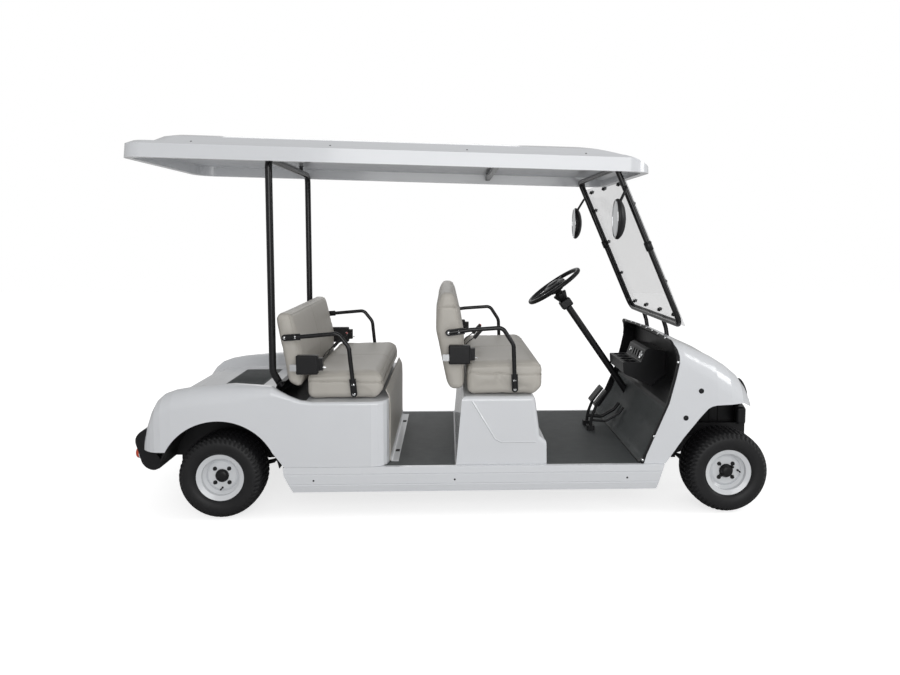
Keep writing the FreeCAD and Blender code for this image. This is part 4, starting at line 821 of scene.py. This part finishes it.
hoop = rounded([(-FRAME_HALF, 0), (FRAME_HALF, 0), (FRAME_HALF, SCREEN_LENGTH),
                (-FRAME_HALF, SCREEN_LENGTH)], HOOP_BEND, steps=9)
hoop = hoop[:, :1] * [0, SHEET_WIDE, 0] + hoop[:, 1:] * SHEET_LONG * screen_up
hoop += on_screen(0, SHEET_UP, SHEET_OUT)
channel = along(hoop, np.array([(-9, -6), (9, -6), (9, 6), (-9, 6)]) * MM, screen_out, closed=True)
piece("windscreen_channel", channel, grid_faces(len(hoop), 4, True, True), "black_plastic", smooth=False)
print("knobs on each face:", len(studs))

# %% [markdown]
# The mirrors are shallow domes of bright metal: rings of an ellipse that stand out towards the driver by one
# less the square of the radius. Each lamp gets the ring that holds its lens, turned round the lamp's axis.

# %% Mirrors and lamps
MIRROR_X, MIRROR_Y, MIRROR_Z = FRONT_AXLE - 0.6245, 0.590, 1.530
GLASS_HIGH, GLASS_WIDE, GLASS_DOME = 90 * MM, 55 * MM, 1.5 * MM
BEZEL_OUT, BEZEL_RADIUS = 4 * MM, 3.2 * MM
LAMP_WAY = unit([1, 0, 0.3])
LAMP_HEART, LAMP_OUT, LAMP_SIDE = np.array([FRONT_AXLE + 0.110, 0, 0.565]), 90 * MM, 250 * MM
LAMP_BEZEL = [(56, -30), (59, -6), (60, 1), (57, 3), (53, 1), (52, -2)]
TAIL_TIP, TAIL_SIDE, TAIL_HEIGHT = REAR_AXLE - 0.473, 0.43, 0.308
TAIL_SLEEVE = [(35.2, -46), (35.2, -24), (34, -21.5), (30.2, -21)]


def oval(half_high, half_wide, count, x, y, z):
    """Points of an upright ellipse that faces along X."""
    a = np.linspace(0, 2 * np.pi, count, endpoint=False)
    return np.stack([np.full(count, x), y + half_wide * np.cos(a), z + half_high * np.sin(a)], -1)


for hand, y in (("left", MIRROR_Y), ("right", -MIRROR_Y)):
    rings = [oval(GLASS_HIGH * k, GLASS_WIDE * k, 40, MIRROR_X - GLASS_DOME * (1 - k ** 2), y, MIRROR_Z)
             for k in (0.01, 0.25, 0.5, 0.75, 1)]
    piece(f"mirror_glass_{hand}", np.array(rings), grid_faces(5, 40, round_cols=True), "mirror")
    edge = oval(GLASS_HIGH + BEZEL_OUT, GLASS_WIDE + BEZEL_OUT, 48, MIRROR_X, y, MIRROR_Z)
    piece(f"mirror_bezel_{hand}", along(edge, circle(BEZEL_RADIUS, 8), (1, 0, 0), closed=True),
          grid_faces(48, 8, True, True), "chrome")
lamp_spots = [LAMP_HEART + LAMP_WAY * LAMP_OUT + [0, y, 0] for y in (-LAMP_SIDE, LAMP_SIDE)]
turned("headlamp_bezels", LAMP_BEZEL, 48, [(spot, LAMP_WAY) for spot in lamp_spots], "black_plastic")
turned("tail_lamp_rings", TAIL_SLEEVE, 40, [((TAIL_TIP, y, TAIL_HEIGHT), (-1, 0, 0))
                                            for y in (-TAIL_SIDE, TAIL_SIDE)], "rim")
print("headlamps:", len(lamp_spots))

# %% [markdown]
# Each seat end has a belt reel with a guide, a bright tongue, a bracket and a large bolt. Two buckles stand
# on webbing stalks behind each cushion. They are flat bands carried along a short line in a side view, which
# gives rigid cases and bowed stalks from one function.

# %% Belts: guides, tongues, brackets and buckles
REEL_OUT, BUCKLE_SIDE = 559 * MM, 0.10


def strip(path, width, thick):
    """A flat band across Y along a path in a side view: four corners carried along it, with closed ends."""
    half, deep = width / 2, thick / 2
    path = np.asarray(path, float)
    side = np.broadcast_to([0.0, 1.0, 0.0], path.shape)
    up = unit_rows(np.cross(headings(path), side))
    grid = carried(path, side, up, [(-half, -deep), (half, -deep), (half, deep), (-half, deep)])
    return with_poles(grid), closed_faces(len(path), 4)


def box(low_corner, high_corner):
    """The eight corners and six faces of an upright box."""
    (x0, y0, z0), (x1, y1, z1) = low_corner, high_corner
    points = [(x, y, z) for x in (x0, x1) for y in (y0, y1) for z in (z0, z1)]
    return points, [(0, 1, 3, 2), (4, 6, 7, 5), (0, 4, 5, 1), (2, 3, 7, 6), (0, 2, 6, 4), (1, 5, 7, 3)]


guides, tongues, brackets, stalks, cases, buttons, anchors = ([] for _ in range(7))
for x, z, foot_x, foot_z in ((MIDDLE - 0.150, 0.792, MIDDLE - 0.075, 0.780),
                             (REAR_AXLE + 0.390, 0.743, REAR_AXLE + 0.435, 0.732)):
    for side in (-1, 1):
        y = side * REEL_OUT
        slot = np.array([x + 0.108, y, z + 0.050])
        mouth = [slot, slot + [0.006, 0, 0], slot + [0.008, 0, 0.002], slot + [0.026, 0, 0.002]]
        guides.append(strip(mouth, 34 * MM, 62 * MM))
        tongues.append(strip([slot + [0.024, 0, -0.014], slot + [0.040, 0, -0.018]], 26 * MM, 3 * MM))
        brackets.append(box((x - 0.030, y - 0.019, z + 0.018), (x + 0.010, y - 0.015, z + 0.052)))
        anchors.append(((x - 0.020, y - side * 0.015, z + 0.036), (0, side, 0)))
    for y in (-BUCKLE_SIDE, BUCKLE_SIDE):
        foot = np.array([foot_x, y, foot_z])
        top = foot + [0.075, 0, 0.085]
        way = unit(top - foot)
        bowed = curve_through([foot, (foot + top) / 2 + [-0.008, 0, 0.008], top], 6)
        stalks.append(strip(bowed, 22 * MM, 3 * MM))
        cases.append(strip([top - way * 0.006, top + way * 0.03, top + way * 0.062], 44 * MM, 17 * MM))
        buttons.append(strip([top + way * 0.060, top + way * 0.0655], 24 * MM, 11 * MM))
joined_pieces("belt_guides", guides, "black_plastic")
hex_bolts("belt_bolts", anchors, 18, 10)
joined_pieces("belt_tongues", tongues, "chrome")
joined_pieces("belt_brackets", brackets, "zinc")
joined_pieces("buckle_stalks", stalks, "webbing")
joined_pieces("buckle_cases", cases, "black_plastic")
joined_pieces("buckle_buttons", buttons, "red_button")
print("reels:", len(guides), "buckles:", len(cases))

# %% [markdown]
# Rubber mats are ribbed. On the flat floor the ribs are relief in the finish. The deck mat and the toe mat
# are sheets of their own, laid a little over the frame, with each rib a half wave of the sheet. A black
# sheet on the deck and a thin bent black panel behind the rear seat back are painted shade for the opening
# there, and the nose has a black lining that is the inside of the shell, lifted.

# %% Mats, toe board and a black deck sheet of painted shade
RIB_PITCH, STEPS_PER_RIB, MAT_STEP, BORDER = 11 * MM, 6, 14 * MM, 0.1 * MM
DECK_MAT = [(REAR_AXLE - 0.100, 0.612), (REAR_AXLE + 0.120, 0.612)]
TOE_MAT = [(FRONT_AXLE - 0.472, 0.272), (FRONT_AXLE - 0.442, 0.300), (FRONT_AXLE - 0.362, 0.420),
           (FRONT_AXLE - 0.318, 0.540)]
DECK_SHADE_SHEET = [(REAR_AXLE + 0.255, 0.610), (REAR_AXLE + 0.432, 0.606)]


def ribbed_sheet(name, line, half, node, rib=1.6 * MM, lift=1.2 * MM, paint="mat"):
    """A sheet along a side view line and across Y, lying on a frame piece. Its height over the piece is the
    lift plus a rib for the positive half of a sine across Y, and it drops to the piece at its border."""
    path = evenly([(x, 0, z) for x, z in line], step=MAT_STEP)
    across = np.arange(-half, half, RIB_PITCH / STEPS_PER_RIB)
    wave = np.clip(np.sin(2 * np.pi * across / RIB_PITCH), 0, None) ** 0.5
    grid = np.repeat(path[:, None], len(across), axis=1)
    grid[..., 1] = across
    spots, ways = nearest(nodes[node], grid.reshape(-1, 3))
    height = np.broadcast_to(lift + rib * wave, grid.shape[:2]).copy()
    height[[0, -1]] = BORDER
    height[:, [0, -1]] = BORDER
    points = spots + ways * height.reshape(-1, 1)
    return piece(name, points, grid_faces(*grid.shape[:2])[:, ::-1], paint)


ribbed_sheet("deck_mat", DECK_MAT, 0.31, "rear_body")
ribbed_sheet("toe_mat", TOE_MAT, 0.535, "dash_liner")
# Painted shade: this black sheet on the deck stands for the shade in the opening under the rear seat back.
ribbed_sheet("deck_painted_shade", DECK_SHADE_SHEET, 0.534, "rear_body", rib=0, lift=2 * MM, paint="black_plastic")
print("rib pitch:", RIB_PITCH)

# %% Bent panels, painted shade behind the rear seat, and the floor flange
FLOOR_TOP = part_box("floor_mats")[1][2]
BOX_FACE, FLANGE_WIDE, PLATE_HALF = MIDDLE - 0.4565, 0.99, 0.017
# The side view of a black panel of painted shade behind the rear seat back.
SEAT_BACK_SHADE_LINE = [(REAR_AXLE + 0.262, 0.606), (REAR_AXLE + 0.268, 0.640), (REAR_AXLE + 0.290, 0.690),
                  (REAR_AXLE + 0.328, 0.700)]
DROP_LINE = [(MIDDLE - 0.476, 0.648), (MIDDLE - 0.460, 0.614), (BOX_FACE, 0.590), (MIDDLE - 0.4555, 0.52),
             (BOX_FACE, 0.42), (BOX_FACE, FLOOR_TOP + 0.004)]
FLANGE_LINE = [(MIDDLE - 0.4525, FLOOR_TOP + 0.030), (MIDDLE - 0.4515, FLOOR_TOP + 0.008),
               (MIDDLE - 0.445, FLOOR_TOP + 0.002), (MIDDLE - 0.412, FLOOR_TOP + 0.0015)]


def bent_panel(name, line, width, thick, paint):
    """A thin panel across the cart whose side view is a smooth line through a few points."""
    points, faces = strip(curve_through([(x, 0, z) for x, z in line], 6), width, thick)
    return piece(name, points, faces, paint, smooth=False)


# Painted shade: this black panel darkens the opening behind the rear seat back, which is only in shade.
bent_panel("seat_back_painted_shade", SEAT_BACK_SHADE_LINE, 1.04, 3 * MM, "black_plastic")
bent_panel("drop_panel", DROP_LINE, FLANGE_WIDE, 5 * MM, "vinyl")
bent_panel("floor_flange", FLANGE_LINE, FLANGE_WIDE, 2 * MM, "rim")
plates = [box((MIDDLE - 0.440, y - PLATE_HALF, FLOOR_TOP + 0.002),
              (MIDDLE - 0.418, y + PLATE_HALF, FLOOR_TOP + 0.0045)) for y in (-0.31, 0.31)]
joined_pieces("flange_plates", plates, "webbing")

# %% Nose lining and shields
NOSE_HEART, LINING_LIFT, TOWARDS = np.array([FRONT_AXLE - 0.20, 0, 0.60]), 0.2 * MM, 0.25
SHIELD_SIDE, SHIELD_HALF = 0.230, 1.5 * MM


def lining(name, node, heart, paint):
    """The faces of a frame shell that look towards a point inside it, each lifted off the shell."""
    mesh = nodes[node].data
    corners = points_of(mesh)
    inner = [face for face in mesh.polygons
             if np.dot(unit(heart - np.array(face.center)), face.normal) > TOWARDS]
    parts = [(corners[list(face.vertices)] + np.array(face.normal) * LINING_LIFT, [range(len(face.vertices))])
             for face in inner]
    return joined_pieces(name, parts, paint)


lining("nose_lining", "front_cowl", NOSE_HEART, "black_plastic")
shields = [box((FRONT_AXLE + 0.080, y - SHIELD_HALF, 0.380), (FRONT_AXLE + 0.195, y + SHIELD_HALF, 0.515))
           for y in (-SHIELD_SIDE, SHIELD_SIDE)]
joined_pieces("nose_shields", shields, "black_plastic")

# %% The raised line on the front seat's base
SEAM_LINE = [(MIDDLE - 0.030, 0.600), (MIDDLE + 0.090, 0.399), (MIDDLE + 0.124, 0.383),
             (MIDDLE + 0.300, 0.383)]
RIDGE = np.array([(-5, 0), (0, 4), (5, 0), (0, -2)]) * MM
for hand, side in (("left", 1), ("right", -1)):
    line = evenly([(x, side * 0.63, z) for x, z in SEAM_LINE], step=5 * MM)
    spots, ways = nearest(nodes["seat_pedestal"], line)
    ridge = along(spots + ways * 0.2 * MM, RIDGE, (0, side, 0))
    piece(f"base_line_{hand}", with_poles(ridge), closed_faces(len(spots), 4), "body", smooth=False)

# %% [markdown]
# The driver's controls are turned shapes too: a dial and a key switch that face back from the console, and
# a horn cap and a boot on the slanting column. Rockers and pedal treads are short strips.

# %% Console switches, horn cap, boot and pedal treads
PANEL_AT, PANEL_OUT = np.array([FRONT_AXLE - 0.340, 0, 0.757]), unit([-0.070, 0, 0.024])
DIAL = [(23, 0), (24, 3), (22, 5), (20, 3), (0.1, 3)]
KEY = [(13, 0), (13, 4), (9, 6), (8, 4), (0.1, 4)]
turned("charge_dial", DIAL, 32, [(PANEL_AT + [0, -0.09, 0], PANEL_OUT)], "chrome")
turned("key_switch", KEY, 24, [(PANEL_AT + [0, 0.14, 0], PANEL_OUT)], "chrome")
rockers = [strip([PANEL_AT + [0, y, 0] + PANEL_OUT * reach for reach in (0.5 * MM, 7 * MM)], 24 * MM, 40 * MM)
           for y in (-0.03, 0.02, 0.07)]
joined_pieces("rocker_switches", rockers, "black_tube")

WHEEL_CENTRE, COLUMN_LEAN = np.array([FRONT_AXLE - 0.800, 0.270, 1.134]), math.radians(35)
HORN = [(25, -42), (40, -40), (62, -24), (76, -8), (78, 2), (70, 9), (50, 16), (44, 17), (40, 23), (18, 26),
        (0.1, 26.5)]
BOOT = [(22, -106), (30, -100), (44, -64), (42, -58), (20, -57)]
column_way = np.array([-math.sin(COLUMN_LEAN), 0, math.cos(COLUMN_LEAN)])
turned("horn_cap", HORN, 40, [(WHEEL_CENTRE, column_way)], "black_plastic", "steering_wheel")
turned("column_boot", BOOT, 36, [(WHEEL_CENTRE, column_way)], "black_plastic")

PEDAL_LEAN, PEDAL_X, PEDAL_Z = math.radians(38), FRONT_AXLE - 0.540, 0.464
TREAD_STEP = 11 * MM
pedal_way = np.array([-math.cos(PEDAL_LEAN), 0, math.sin(PEDAL_LEAN)])
pedal_up = np.array([pedal_way[2], 0, -pedal_way[0]])
treads = []
for y, wide in ((0.205, 0.080), (0.085, 0.042)):
    for k in range(-4, 5):
        middle = np.array([PEDAL_X, y, PEDAL_Z]) + pedal_way * 6 * MM + pedal_up * k * TREAD_STEP
        treads.append(strip([middle - pedal_way * 0.5 * MM, middle + pedal_way * 2.5 * MM], wide, 5 * MM))
joined_pieces("pedal_treads", treads, "tyre")
print("pedal treads:", len(treads))
